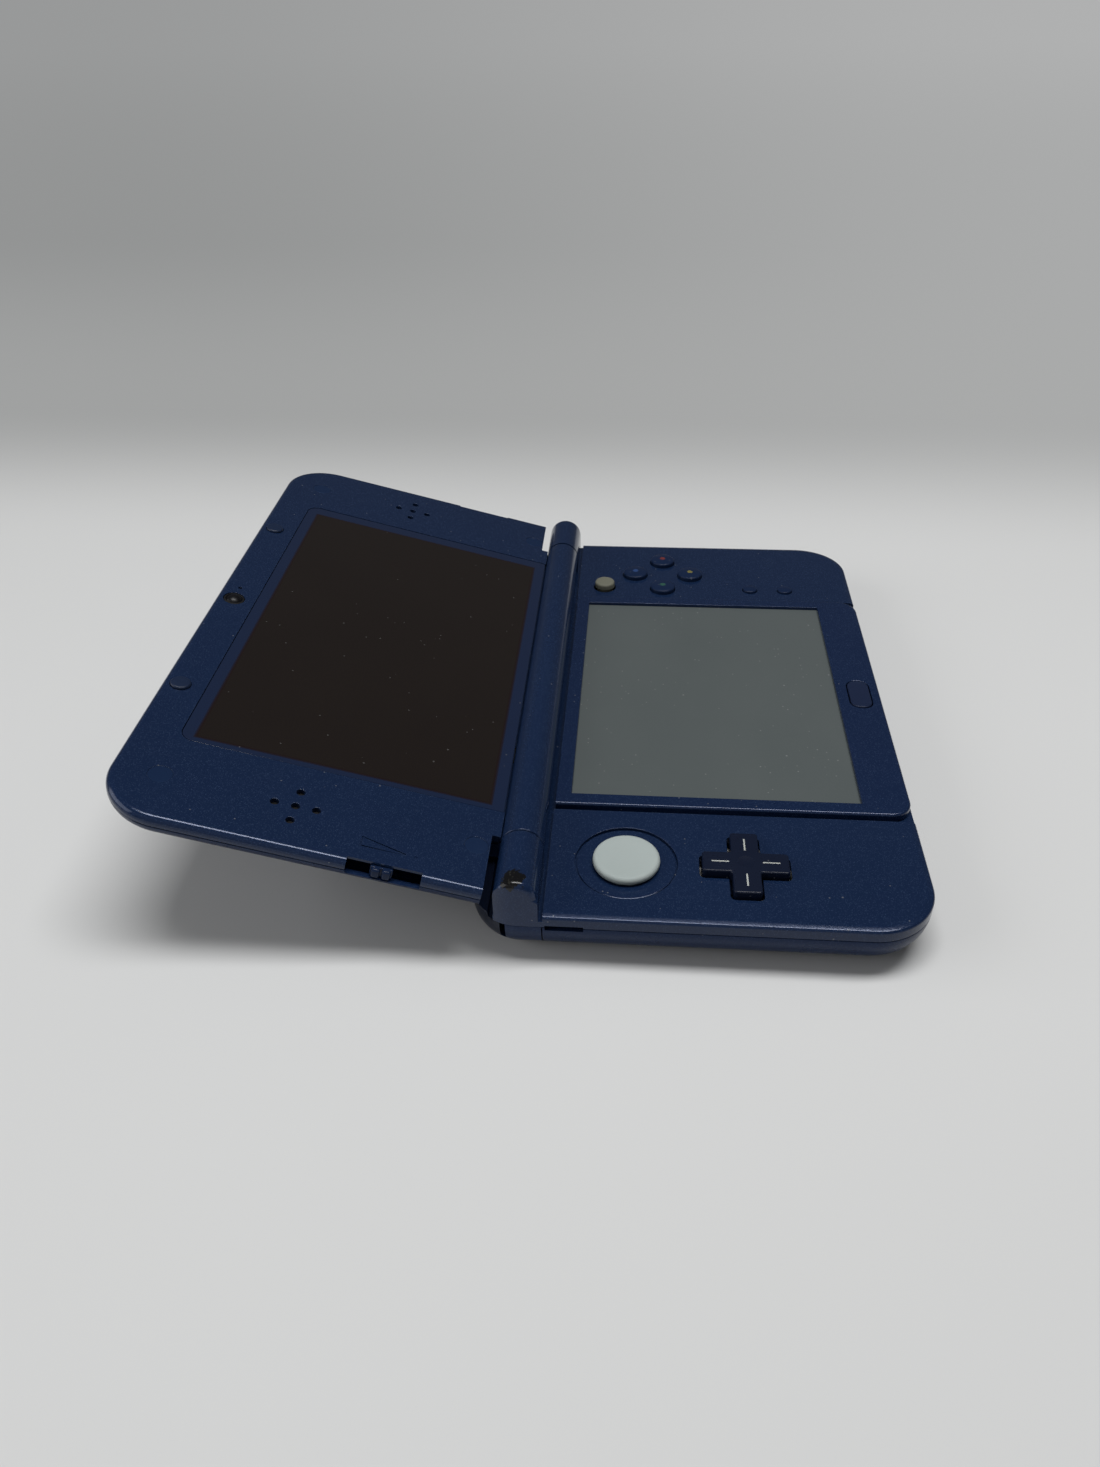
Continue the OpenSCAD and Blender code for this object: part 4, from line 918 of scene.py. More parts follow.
@dataclass
class BaseCase:
    """Case of the base: the deck, the raised screen surround, the lower case and the bottom cover."""

    wide: float = 160.0
    front: float = -46.75
    rear: float = 46.75
    deck_z: float = 12.5
    split_z: float = 9.6
    seam: float = 0.1
    front_r: float = 13.5
    rear_r: float = 10.2
    low_r: float = 9.6
    wall: float = 1.3
    deck_back: float = 31.6
    cover_back: float = 31.8
    ledge_z: float = 11.2
    trough_r: float = 5.93
    knuckle_in: float = 64.1
    barrel_r: float = 4.5
    band: float = 1.35
    band_drop: float = 0.34
    surround_half: float = 46.1
    surround_rise: float = 1.0
    window: tuple[float, float, float] = (42.5, -35.8, 28.0)
    key_hole_r: float = 3.64
    small_hole_r: float = 2.14
    nub_hole_r: float = 3.15
    notch: tuple[float, float] = (8.3, 0.6)
    bay_half: float = 66.0
    card_x: float = -35.0
    card_half: float = 16.8
    cover_screw: tuple[float, float] = (44.0, 26.0)
    shoulder_pin: tuple[float, float] = (56.5, 43.25)
    screws: tuple[tuple[float, float], ...] = ((-70, 29.5), (70, 29.5), (-72.5, -33.25), (72.5, -33.25))

    def lower_form(self, inset: float, z1: float) -> Form:
        """Makes the lower half's outline, set in by a wall, up to a height."""
        form = Form.slab(self.wide - 2 * inset, self.front + inset, self.rear - inset, self.front_r - inset,
                         self.rear_r - inset, inset, 14.0, low_r=self.low_r - inset, steps=12)
        return form.keep((-OUTSIDE, -OUTSIDE, -1), (OUTSIDE, OUTSIDE, z1))

    def column(self, inset: float, z0: float, z1: float) -> Form:
        """Makes a plain column over the base's outline."""
        return Form.slab(self.wide - 2 * inset, self.front + inset, self.rear - inset, self.front_r - inset,
                         self.rear_r - inset, z0, z1)

    def trough(self) -> Form:
        """Makes the tool for the round trough behind the deck."""
        return Form.rod((-self.knuckle_in, AXIS_Y, AXIS_Z), (self.knuckle_in, AXIS_Y, AXIS_Z), self.trough_r, 96)

    def knuckle(self, side: float) -> Form:
        """Makes one fixed hinge knuckle, with its worn rounded end."""
        end = side * self.wide / 2
        start = side * self.knuckle_in
        form = Form.rod((start, AXIS_Y, AXIS_Z), (end, AXIS_Y, AXIS_Z), self.barrel_r, 72)
        form.add(side_block(side, self.knuckle_in, self.wide / 2, AXIS_Y - self.barrel_r, AXIS_Y + self.barrel_r,
                            self.split_z + self.seam, AXIS_Z))
        form.bevel(lambda e: crisp(e, 60) and all(abs(v.co.x - end) < 0.01 and v.co.z > 10 for v in e.verts),
                   1.5, 6)
        form.combine(self.column(0.0, 9.0, 40.0), Join.COMMON)
        return form

    @staticmethod
    def shoulder_bay(side: float) -> Form:
        """Makes the tool for the bay of a shoulder button."""
        return side_block(side, 36.4, OUTSIDE, 41.65, OUTSIDE, 9.5, 30)

    def deck(self) -> None:
        """Builds the upper half of the case: its rim stands a little lower than its middle."""
        rim = self.deck_z - self.band_drop
        form = Form.slab(self.wide, self.front, self.rear, self.front_r, self.rear_r, self.split_z + self.seam, rim)
        form.edit()
        bpy.ops.mesh.select_mode(type="FACE")
        net = bmesh.from_edit_mesh(form.item.data)
        for face in net.faces:
            face.select_set(face.normal.z > 0.9)
        bmesh.update_edit_mesh(form.item.data)
        bpy.ops.mesh.inset(thickness=self.band)
        bpy.ops.transform.translate(value=(0, 0, self.band_drop))
        form.leave()
        form.bevel(lambda e: at_level(e, self.deck_z), 0.2, 2)
        form.bevel(lambda e: at_level(e, rim), 0.5, 5)
        form.cut(Form.block((-OUTSIDE, self.deck_back, self.ledge_z), (OUTSIDE, OUTSIDE, 20)))
        form.add(*both_sides(self.knuckle))
        inside = self.column(self.wall, 0, 11.0)
        form.cut(inside.keep((-OUTSIDE, -OUTSIDE, 0), (OUTSIDE, self.deck_back - 1.2, 11.0)), self.trough())
        for side in (-1, 1):
            form.cut(self.shoulder_bay(side),
                     Form.rod((side * 63.1, AXIS_Y, AXIS_Z), (side * 75.9, AXIS_Y, AXIS_Z), 2.5))
        self.deck_holes(form)
        form.done("deck_shell", "base", knuckle_lacquer, "blue_shell", "base_upper_case")

    def deck_holes(self, form: Form) -> None:
        """Cuts the openings of the screen surround, the pads, the keys and the cover's notches in the deck."""
        x0, y0, y1 = self.window
        half = self.surround_half + 1.0
        form.cut(Form.block((-half, self.front - 1, 11.3), (half, self.deck_back + 1, 20)),
                 Form.block((-x0 - 0.7, y0 - 0.7, 0), (x0 + 0.7, y1 + 0.7, 20)))
        form.cut(lip_hole(*CIRCLE_PAD, 10.7, 9, self.deck_z, 0.12, 96),
                 Form.rod((*CIRCLE_PAD, 5), (*CIRCLE_PAD, 11.9), 11.4))
        pad = CrossPad()
        form.cut(pad.well())
        deep, shy = self.notch
        form.cut(*both_sides(lambda s: side_block(s, 77.5, OUTSIDE, self.cover_back - deep, self.cover_back - shy,
                                                  9, 10.1)))
        for way in ("right", "left", "rear", "front"):
            form.cut(lip_hole(*face_key_place(way), self.key_hole_r, 9, self.deck_z, 0.1))
        form.cut(lip_hole(*NUB, self.nub_hole_r, 9, self.deck_z))
        for place in SMALL_KEYS.values():
            form.cut(lip_hole(*place, self.small_hole_r, 9, self.deck_z, 0.1))
        form.cut(home_outline(0.25, 9, 20))
        low, high = (pad.x - 11.5, pad.y - 11.5, 12), (pad.x + 11.5, pad.y + 11.5, 13)
        form.bevel(lambda e: at_level(e, self.deck_z) and crisp(e, 80) and within(e, low, high), 0.1, 2)

    def surround(self) -> None:
        """Builds the raised frame round the touch screen."""
        top = self.deck_z + self.surround_rise
        half = self.surround_half
        form = Form.block((-half, self.front + 0.3, 11.6), (half, self.deck_back + 6, top))
        form.bevel(lambda e: upright(e) and e.verts[0].co.y < 0, 5.0, 14)
        form.bevel(lambda e: at_level(e, top), 0.6, 5)
        form.keep((-OUTSIDE, -OUTSIDE, 0), (OUTSIDE, self.deck_back - 0.25, 20))
        x0, y0, y1 = self.window
        form.cut(Form.block((-x0, y0, 0), (x0, y1, 20)))
        form.cut(Form.block((-x0 - 1.8, y0 - 1.5, 0), (x0 + 1.8, y1 + 1.5, 12.6)))
        form.cut(home_outline(0.25, 9, 20))
        form.bevel(lambda e: at_level(e, top) and crisp(e, 80), 0.22, 3)
        form.done("screen_surround", "base", gloss_lacquer, "blue_shell", "touch_bezel")

    def cover(self) -> None:
        """Builds the bottom cover, with its rounded sides and the notches to lift it by."""
        top = self.split_z - self.seam
        form = self.lower_form(0.0, top)
        form.cut(Form.block((-OUTSIDE, self.cover_back - 0.15, -5), (OUTSIDE, OUTSIDE, 20)))
        form.cut(self.lower_form(self.wall, 20))
        form.cut(Form.block((-self.bay_half - 0.1, self.front - 1, 3.0), (self.bay_half + 0.1, self.front + 4.7, 20)))
        deep, shy = self.notch
        x, y = self.cover_screw
        for side in (-1, 1):
            form.cut(side_block(side, 77, OUTSIDE, self.cover_back - deep, self.cover_back - shy, 8.8, 12))
            form.cut(Form.rod((side * x, y, -1), (side * x, y, 5), 1.25),
                     Form.turned(side * x, y, [(2.7, -1), (2.7, -0.01), (2.5, 0.2), (2.5, 1.9)]))
        form.bevel(lambda e: crisp(e, 55) and at_level(e, top), 0.12, 2)
        form.done("bottom_shell", "base", cover_lacquer, "blue_shell", "bottom_cover")

    def lower(self) -> None:
        """Builds the lower case: the tray, the bay in the front edge and the full-depth rear."""
        tray = self.lower_form(1.55, self.split_z).keep((-OUTSIDE, self.front, -1), (OUTSIDE, self.cover_back + 2, 20))
        rear = self.lower_form(0.0, self.split_z).keep((-OUTSIDE, self.cover_back + 0.1, -1), (OUTSIDE, OUTSIDE, 20))
        bay = self.lower_form(0.0, self.split_z).keep((-self.bay_half, self.front - 1, 3.1),
                                                      (self.bay_half, self.front + 4.6, 20))
        room = self.lower_form(2.65, 20)
        x, y = self.cover_screw
        for side in (-1, 1):
            room.cut(side_block(side, 35.2, OUTSIDE, 37.9, OUTSIDE, -1, 30))
            room.cut(Form.rod((side * x, y, 0), (side * x, y, 6.5), 2.4))
            rail = STYLUS[0] + side * 3.3
            room.cut(Form.block((rail - 0.5, -40.75, 0), (rail + 0.5, 25.25, 7.1)))
        for screw in self.screws:
            room.cut(Form.rod((*screw, 0), (*screw, 6.5), 2.6))
        form = tray.add(rear, bay).cut(room, self.trough())
        pin_x, pin_y = self.shoulder_pin
        for side in (-1, 1):
            form.cut(self.shoulder_bay(side), side_block(side, 36.4, OUTSIDE, 39.2, OUTSIDE, 4.2, 9.61))
            form.cut(Form.rod((side * x, y, 0), (side * x, y, 6), 1.1),
                     Form.rod((side * pin_x, pin_y, 3.3), (side * pin_x, pin_y, 6.3), 0.82))
        for screw in self.screws:
            form.cut(Form.turned(*screw, [(2.1, 0), (2.1, 3.6), (1.1, 3.61), (1.1, 7.5)]))
        self.front_holes(form)
        form.cut(Form.block((-5.2, self.rear - 6, 4.5), (5.2, self.rear + 1, 7.9)),
                 Form.block((-26.1, self.rear - 3, 4.1), (-15.9, self.rear + 1, 8.3)))
        form.done("lower_shell", "base", cover_lacquer, "blue_shell", "base_lower_case")

    def front_holes(self, form: Form) -> None:
        """Cuts the card slot, the headphone socket, the stylus hole, the power button's hole and the lights."""
        f, card, half = self.front, self.card_x, self.card_half
        notch = Form.rod((card, f - 1, 9.6), (card, f + 3.2, 9.6), 6.5)
        form.cut(Form.block((card - half, f - 1, 3.4), (card + half, f + 8.9, 7.55)),
                 Form.block((card - half - 0.5, f - 1, 2.9), (card + half + 0.5, f + 0.4, 8.05)),
                 notch.keep((-OUTSIDE, -OUTSIDE, 3.5), (0, 0, 9.7)))
        for x, z, depth, r in ((0.0, 5.9, 2.8, 3.0), (0.0, 5.9, 9.0, 2.6), (*STYLUS, 9.0, 2.4)):
            form.cut(Form.rod((x, f - 1, z), (x, f + depth, z), r))
        power = Form.block((53.25, f - 1, 5.05), (62.75, f + 6, 8.15))
        form.cut(power.bevel(along_y, 1.2, 6))
        for x in (44.0, 47.5):
            form.cut(Form.rod((x, f - 1.2, 6.6), (x, f + 6.8, 6.6), 0.75, 32))

    def build(self) -> None:
        """Builds the four shells."""
        self.deck()
        self.surround()
        self.cover()
        self.lower()


def home_outline(gap: float, z0: float, z1: float) -> Form:
    """Makes the long rounded outline of the home button, widened by a gap."""
    (x, y), half_x, half_y = HOME, 5.75 + gap, 2.6 + gap
    form = Form.block((x - half_x, y - half_y, z0), (x + half_x, y + half_y, z1))
    return form.bevel(upright, 2.4 + gap, 10)


# ---------------------------------------------------------------- pads and keys


@dataclass
class CirclePad:
    """Sliding circle pad: the ring let into the deck and the pale cap."""

    x: float = CIRCLE_PAD[0]
    y: float = CIRCLE_PAD[1]
    hole: float = 6.4

    def build(self) -> None:
        """Builds the ring and the cap."""
        ring = Form.turned(self.x, self.y, [
            (11.2, 11.12), (11.2, 11.75), (10.34, 11.8), (10.34, 12.0), (10.3, 12.1), (10.2, 12.15),
            (9.6, 12.15), (8.6, 12.12), (7.4, 12.08), (6.8, 12.03), (6.55, 11.95)], 96)
        ring.cut(Form.rod((self.x, self.y, 10), (self.x, self.y, 13), self.hole, 96))
        ring.done("circle_pad_collar", "base", lacquer, "blue_shell", "circle_pad_ring")
        cap = Form.turned(self.x, self.y, [
            (9.6, 10.3), (9.75, 10.4), (9.75, 10.7), (9.6, 10.8), (3.0, 10.82),
            (3.0, 12.42), (5.8, 12.52), (6.75, 12.6), (6.93, 12.72), (7.0, 12.95), (7.0, 13.2),
            *arc(6.15, 13.25, 0.85, 0, 90, 8), (5.6, 14.08), (4.9, 14.03), (4.0, 13.94), (3.0, 13.86), (1.8, 13.79),
            (0.6, 13.76), (0.05, 13.755)], 96)
        cap.done("circle_pad_top", "pad_cap", pale_grip, "pale_grip", "circle_pad_cap")


@dataclass
class CrossPad:
    """Rocking cross pad with a short pale line on each arm."""

    x: float = -63.5
    y: float = -9.1
    half: float = 8.9
    arm: float = 2.9
    top: float = 14.2
    line: tuple[float, float] = (3.45, 7.0)
    line_half: float = 0.19
    line_sunk: float = 0.02

    def cross(self, half: float, arm: float, z0: float, z1: float, outer: float, inner: float) -> Form:
        """Makes an upright cross.

        Args:
            half: half its span.
            arm: half an arm's width.
            z0: underside.
            z1: top.
            outer: radius of the corners at the arms' ends.
            inner: radius of the corners where the arms meet.

        Returns:
            The cross.
        """
        form = Form.block((self.x - arm, self.y - arm, z0), (self.x + arm, self.y + arm, z1))
        form.edit()
        bpy.ops.mesh.select_mode(type="FACE")
        for way in (Vector((1, 0, 0)), Vector((-1, 0, 0)), Vector((0, 1, 0)), Vector((0, -1, 0))):
            bpy.ops.mesh.select_all(action="DESELECT")
            net = bmesh.from_edit_mesh(form.item.data)
            centre = Vector((self.x, self.y, (z0 + z1) / 2)) + way * arm
            for face in net.faces:
                face.select_set((face.calc_center_median() - centre).length < 0.1)
            bmesh.update_edit_mesh(form.item.data)
            bpy.ops.mesh.extrude_region_move(TRANSFORM_OT_translate={"value": tuple(way * (half - arm))})
        form.leave()
        for radius, far in ((outer, True), (inner, False)):
            form.bevel(lambda e: upright(e) and crisp(e, 80) and self.at_end(e, arm) is far, radius, 5)
        return form

    def at_end(self, edge: bmesh.types.BMEdge, arm: float) -> bool:
        """Tells whether an edge is at the end of an arm."""
        spot = edge.verts[0].co
        return max(abs(spot.x - self.x), abs(spot.y - self.y)) > arm + 1

    def well(self) -> Form:
        """Makes the tool for the hole in the deck."""
        return self.cross(self.half + 0.5, self.arm + 0.5, 5, 20, 1.1, 0.3)

    def build(self) -> None:
        """Builds the pad and its lines."""
        form = self.cross(self.half, self.arm, 10.3, self.top, 0.7, 0.6)
        form.bevel(lambda e: at_level(e, self.top) and crisp(e, 60), 0.35, 3)
        form.add(Form.turned(self.x, self.y, [(6.6, 10.0), (6.6, 10.5)]))
        form.cut(Form.ball((self.x, self.y, self.top + 11.87), 12, 96, 64),
                 Form.ball((self.x, self.y, 10.2), 1.2, 32, 16))
        lines = []
        for dx, dy in ((1, 0), (-1, 0), (0, 1), (0, -1)):
            ends = [sorted((way * self.line[0], way * self.line[1])) for way in (dx, dy)]
            half_x, half_y = self.line_half * abs(dy), self.line_half * abs(dx)
            low = (self.x + ends[0][0] - half_x, self.y + ends[1][0] - half_y, self.top - 0.12)
            high = (self.x + ends[0][1] + half_x, self.y + ends[1][1] + half_y, self.top + 0.5)
            form.cut(Form.block(low, high))
            level = self.top - self.line_sunk
            line = Form.block((low[0] + 0.01, low[1] + 0.01, low[2] + 0.005), (high[0] - 0.01, high[1] - 0.01, level))
            line.bevel(upright, 0.1, 2)
            lines.append(line.bevel(lambda e: at_level(e, level), 0.03, 2))
        form.done("cross_pad_top", "cross_pad", cross_plastic, "blue_keys", "dpad")
        lines[0].merge(*lines[1:]).done("cross_pad_lines", "cross_pad", mark_white, "white_plastic")


@dataclass
class Keys:
    """Round keys, home button, pointing nub and power button."""

    flange: tuple[float, float] = (10.2, 10.8)
    home_top: float = 13.68
    power_face: float = -46.3
    marks: dict[str, Colour] = field(default_factory=lambda: {
        "right": (0.11, 0.016, 0.018), "front": (0.13, 0.115, 0.035), "rear": (0.014, 0.040, 0.13),
        "left": (0.014, 0.060, 0.045)})

    def round_key(self, r: float, top: float, rise: float, edge: float) -> Form:
        """Makes a round key at the origin.

        Args:
            r: radius.
            top: height of the crown.
            rise: height of the dome above the rounded edge.
            edge: radius of the edge.

        Returns:
            The key.
        """
        z0, z1 = self.flange
        dome = [(r - edge, top - rise)]
        dome += [(((r - edge) * (1 - t)) + 0.03, top - rise * (1 - t) ** 2) for t in (0.2, 0.4, 0.6, 0.8, 1.0)]
        return Form.turned(0, 0, [(r + 0.6, z0), (r + 0.6, z1), (r, z1 + 0.01), (r, top - rise - edge),
                                  *arc(r - edge, top - rise - edge, edge, 15, 75, 4), *dome], 64)

    def build(self) -> None:
        """Builds all keys."""
        model = self.round_key(3.5, 14.0, 0.28, 0.5)
        for way, mark in self.marks.items():
            x, y = face_key_place(way)
            model.copy(Matrix.Translation((x, y, 0))).done(
                f"face_key_{way}", f"button_{way}", key_plastic, "blue_keys", f"face_button_{way}")
            dot = Form.turned(x, y, [(0.8, 13.8), (0.8, 13.985), (0.75, 14.005), (0.45, 14.02), (0.05, 14.025)], 40)
            dot.done(f"face_key_{way}_dot", f"button_{way}", pip(f"dot_{way}", mark), "blue_keys")
        model.drop()
        model = self.round_key(2.0, 13.3, 0.2, 0.35)
        for name, (x, y) in SMALL_KEYS.items():
            model.copy(Matrix.Translation((x, y, 0))).done(
                f"{name}_key", name, key_plastic, "blue_keys", f"{name}_button")
        model.drop()
        self.home()
        self.nub()
        self.power()

    def home(self) -> None:
        """Builds the home button with its softly crowned top."""
        form = home_outline(0.0, 10.6, self.home_top)
        form.bevel(lambda e: at_level(e, self.home_top), 0.35, 4)
        (x, y), (z0, z1) = HOME, self.flange
        flange = Form.block((x - 6.6, y - 3.2, z0), (x + 6.6, y + 3.2, z1))
        flange.bevel(upright, 2.5, 8)
        form.add(flange)
        form.done("home_key", "home", home_plastic, "blue_keys", "home_button")

    def nub(self) -> None:
        """Builds the small rubber nub above the face keys."""
        form = Form.turned(*NUB, [
            (2.3, 10.62), (2.3, 12.7), (2.7, 12.8), (2.8, 12.95), (2.8, 13.9), *arc(2.25, 13.9, 0.55, 15, 90, 5),
            (1.6, 14.48), (0.9, 14.49), (0.05, 14.495)], 64)
        form.done("pointing_nub_top", "base", tan_grip, "tan_grip", "pointing_nub")

    def power(self) -> None:
        """Builds the power button in the front edge."""
        form = Form.block((53.5, self.power_face, 5.3), (62.5, -41.75, 7.9))
        form.bevel(along_y, 1.2, 6)
        form.bevel(lambda e: all(abs(v.co.y - self.power_face) < 0.01 for v in e.verts), 0.3, 3)
        flange = Form.block((52.5, -41.8, 4.8), (63.5, -39.9, 8.4))
        flange.bevel(along_y, 1.2, 6)
        form.add(flange)
        form.done("power_key", "power", key_plastic, "blue_keys", "power_button")


# ---------------------------------------------------------------- edge parts


@dataclass
class EdgeParts:
    """Shoulder buttons, triggers, stylus and the sockets in the edges."""

    soft: float = 0.28

    def softened(self, node: str, name: str, body: str, finish: Finish, slot: str) -> None:
        """Rounds the crisp edges of a CAD node's copy."""
        form = Form.of_node(node)
        form.bevel(lambda e: crisp(e, 55), self.soft, 3)
        form.done(name, body, finish, slot, node)

    def build(self) -> None:
        """Builds the pieces in the edges."""
        for side in ("left", "right"):
            self.softened(f"{side}_shoulder_button", f"{side}_shoulder_cap", f"shoulder_{side}", shoulder_plastic,
                          "blue_shell")
            self.softened(f"{side}_trigger", f"{side}_trigger_cap", f"trigger_{side}", shoulder_plastic, "blue_keys")
        self.stylus()

    @staticmethod
    def stylus() -> None:
        """Builds the stylus along the right of the base, with its grooved end."""
        form = Form.turned(0, 0, [(1.75, 0), (2.0, 0.12), (2.12, 0.35), (2.12, 1.1), (1.9, 1.25), (1.9, 1.55),
                                  (2.2, 1.7), (2.2, 77.0), (1.0, 83.0), (1.0, 85.0),
                                  *arc(0.0, 85.0, 0.99, 5, 88, 7)], 48)
        form.item.data.transform(Matrix.Translation((STYLUS[0], -45.85, STYLUS[1])) @ Matrix.Rotation(-pi / 2, 4, "X"))
        form.done("stylus_pen", "stylus", dark_plastic, "dark_plastic", "stylus")


# ---------------------------------------------------------------- lid


@dataclass
class Lid:
    """Lid: the face with the upper screen, the outer shell, the hinge barrel and the small parts."""

    wide: float = 160.0
    reach: float = 83.75
    back: float = -5.1
    face: float = 0.7
    split: float = -1.6
    seam: float = 0.1
    floor: float = -0.4
    cover_floor: float = -4.0
    root: float = 6.5
    wall: float = 1.1
    corner: float = 13.0
    barrel_half: float = 63.7
    barrel_r: float = 4.5
    lens_top: float = 0.64
    camera_v: float = 79.45
    outer_camera: tuple[float, float] = (17.5, 76.45)
    slot_v: tuple[float, float] = (18.6, 33.5)
    grille: tuple[float, float, float] = (67.8, 46.4, 4.26)
    bumper: tuple[float, float] = (37.9, 79.75)
    screw_spots: tuple[tuple[float, float], ...] = ((67.4, 9.3), (67.4, 73.75))

    def outline(self, inset: float) -> Form:
        """Makes the lid's outer form, set in by a wall."""
        return Form.slab(self.wide - 2 * inset, -30, self.reach - inset, 5, self.corner - inset, self.back + inset,
                         self.face - inset, 4.2 - inset, max(0.0, 1.5 - inset), 8)

    @staticmethod
    def soften_seam(form: Form, level: float) -> None:
        """Rounds the outer edge of a shell where it meets the other."""
        form.bevel(lambda e: crisp(e, 70) and at_level(e, level)
                   and any(abs(v.co.x) > 79.5 or v.co.y > 83 for v in e.verts), 0.18, 3)

    def face_shell(self) -> None:
        """Builds the frame round the upper screen."""
        form = self.outline(0)
        keep = Form.block((-OUTSIDE, self.root, self.split), (OUTSIDE, OUTSIDE, 5))
        keep.add(Form.block((-63.4, 4.7, self.split), (63.4, 20, 5)))
        form.combine(keep, Join.COMMON)
        hollow = self.outline(self.wall).keep((-OUTSIDE, self.root + self.wall, -10), (OUTSIDE, OUTSIDE, self.floor))
        form.cut(hollow, Form.block((-64.7, 0, -10), (64.7, 10.5, -1.0)),
                 Form.block((-64.7, 8.1, -10), (64.7, 10.5, self.floor)))
        bosses = [Form.rod((s * x, v, -2.4), (s * x, v, -0.3), 2.3, 40) for s in (-1, 1) for x, v in self.screw_spots]
        form.add(*bosses)
        pocket = Form.block((-55.65, 0, -0.2), (55.65, 74.35, 5))
        pocket.bevel(lambda e: upright(e) and e.verts[0].co.y > 20, 3.1, 8)
        form.cut(pocket, Form.block((-53.9, 7.3, -10), (53.9, 72.6, 5)))
        for s in (-1, 1):
            x, v, pitch = self.grille
            for dx, dv in ((0, 0), (pitch, 0), (-pitch, 0), (0, pitch), (0, -pitch)):
                form.cut(lip_hole(s * x + dx, v + dv, 0.9, -5, self.face, 0.12, 32))
            for x, v in self.screw_spots:
                form.cut(lip_hole(s * x, v, 2.5, 0.1, self.face, 0.04, 48),
                         Form.rod((s * x, v, -0.7), (s * x, v, 1.3), 1.6),
                         Form.rod((s * x, v, -5), (s * x, v, 1), 0.8, 24))
            form.cut(lip_hole(s * self.bumper[0], self.bumper[1], 2.3, 0.2, self.face, 0.12, 48))
            a, b = self.slot_v
            form.cut(side_block(s, 77.6, OUTSIDE, a, b, -2.6, 0.15), side_block(s, 78.4, OUTSIDE, a, b, -2.6, 5))
        form.cut(lip_hole(0, self.camera_v, 2.62, -5, self.face, 0.1, 48),
                 lip_hole(5.2, self.camera_v, 0.5, -5, self.face, 0.1, 24))
        self.wedge(form)
        self.soften_seam(form, self.split)
        form.done("lid_face", "lid", lacquer, "blue_shell", "lid_inner_frame", place=Place.LID)

    def wedge(self, form: Form) -> None:
        """Engraves the plain rising wedge and dot beside the volume slider."""
        outer = Form.block((-74.8, 22.6, 0.45), (-72.0, 31.9, 1.5))
        inner = Form.block((-74.5, 22.9, 0.3), (-72.3, 31.6, 2))
        for tool, thin in ((outer, 0.14), (inner, 0.04)):
            for vertex in tool.item.data.vertices:
                if vertex.co.y < 27:
                    vertex.co.x = -74.7 + (vertex.co.x + 74.7) * thin
        form.cut(Form.rod((-74.8, 20.6, 0.57), (-74.8, 20.6, 1.5), 0.4, 24))
        form.cut(outer.cut(inner))

    def back_shell(self) -> None:
        """Builds the outer shell of the lid."""
        form = self.outline(0)
        top = self.split - self.seam
        keep = Form.block((-OUTSIDE, self.root, -20), (OUTSIDE, OUTSIDE, top))
        keep.add(Form.block((-63.4, 2.0, -20), (63.4, 20, top)))
        form.combine(keep, Join.COMMON)
        form.cut(self.outline(self.wall).keep((-OUTSIDE, self.root + self.wall, -10), (OUTSIDE, OUTSIDE, 5)))
        form.cut(Form.block((-62.7, 0, self.cover_floor), (62.7, 10.5, 5)))
        form.add(*[Form.rod((s * x, v, -4.01), (s * x, v, -2.5), 2.0, 40)
                   for s in (-1, 1) for x, v in self.screw_spots])
        form.cut(Form.rod((-OUTSIDE, 0, 0), (OUTSIDE, 0, 0), self.barrel_r + 0.15, 96))
        for s in (-1, 1):
            for x, v in self.screw_spots:
                form.cut(Form.rod((s * x, v, -3.8), (s * x, v, 0.2), 0.6, 24),
                         Form.rod((s * x, v, -2.5), (s * x, v, 1.5), 2.4, 40))
            a, b = self.slot_v
            form.cut(side_block(s, 77.6, OUTSIDE, a, b, -2.6, 5))
            x, v = self.outer_camera
            form.cut(Form.turned(s * x, v, [(2.9, -6), (2.9, -5.12), (2.6, -4.85), (2.6, -2)], 48))
        self.soften_seam(form, self.split - self.seam)
        form.done("lid_back", "lid", cover_lacquer, "blue_shell", "lid_outer_cover", place=Place.LID)

    def barrel(self) -> None:
        """Builds the long hinge barrel with its neck into the lid."""
        h = self.barrel_half
        form = Form.rod((-h, 0, 0), (h, 0, 0), self.barrel_r, 96)
        form.bevel(lambda e: crisp(e, 60), 0.3, 3)
        form.add(Form.block((-h + 1.5, 0, -3.9), (h - 1.5, 7.2, -1.1)),
                 Form.block((-h + 1.5, 0, -3.9), (h - 1.5, 10, -2.8)))
        for s in (-1, 1):
            form.cut(Form.rod((s * (h - 11.3), 0, 0), (s * (h + 1), 0, 0), 2.5, 48))
        form.cut(Form.rod((-53.7, 0, 0), (-30, 0, 0), 1.8, 40), Form.block((-36.3, 0, -1.7), (-30, 8.1, -0.7)),
                 Form.block((-36.3, 5.7, -2.8), (-30, 8.1, 0)))
        form.done("hinge_tube", "lid", lacquer, "blue_shell", "hinge_barrel", place=Place.LID)

    def lens(self) -> None:
        """Builds the clear sheet over the upper screen."""
        form = Form.block((-55.5, 4.9, -0.15), (55.5, 74.2, self.lens_top))
        form.bevel(lambda e: upright(e) and e.verts[0].co.y > 20, 3.0, 8)
        form.bevel(lambda e: at_level(e, self.lens_top), 0.1, 2)
        form.done("upper_lens", "lid", upper_lens, "lens", "screen_lens", place=Place.LID)

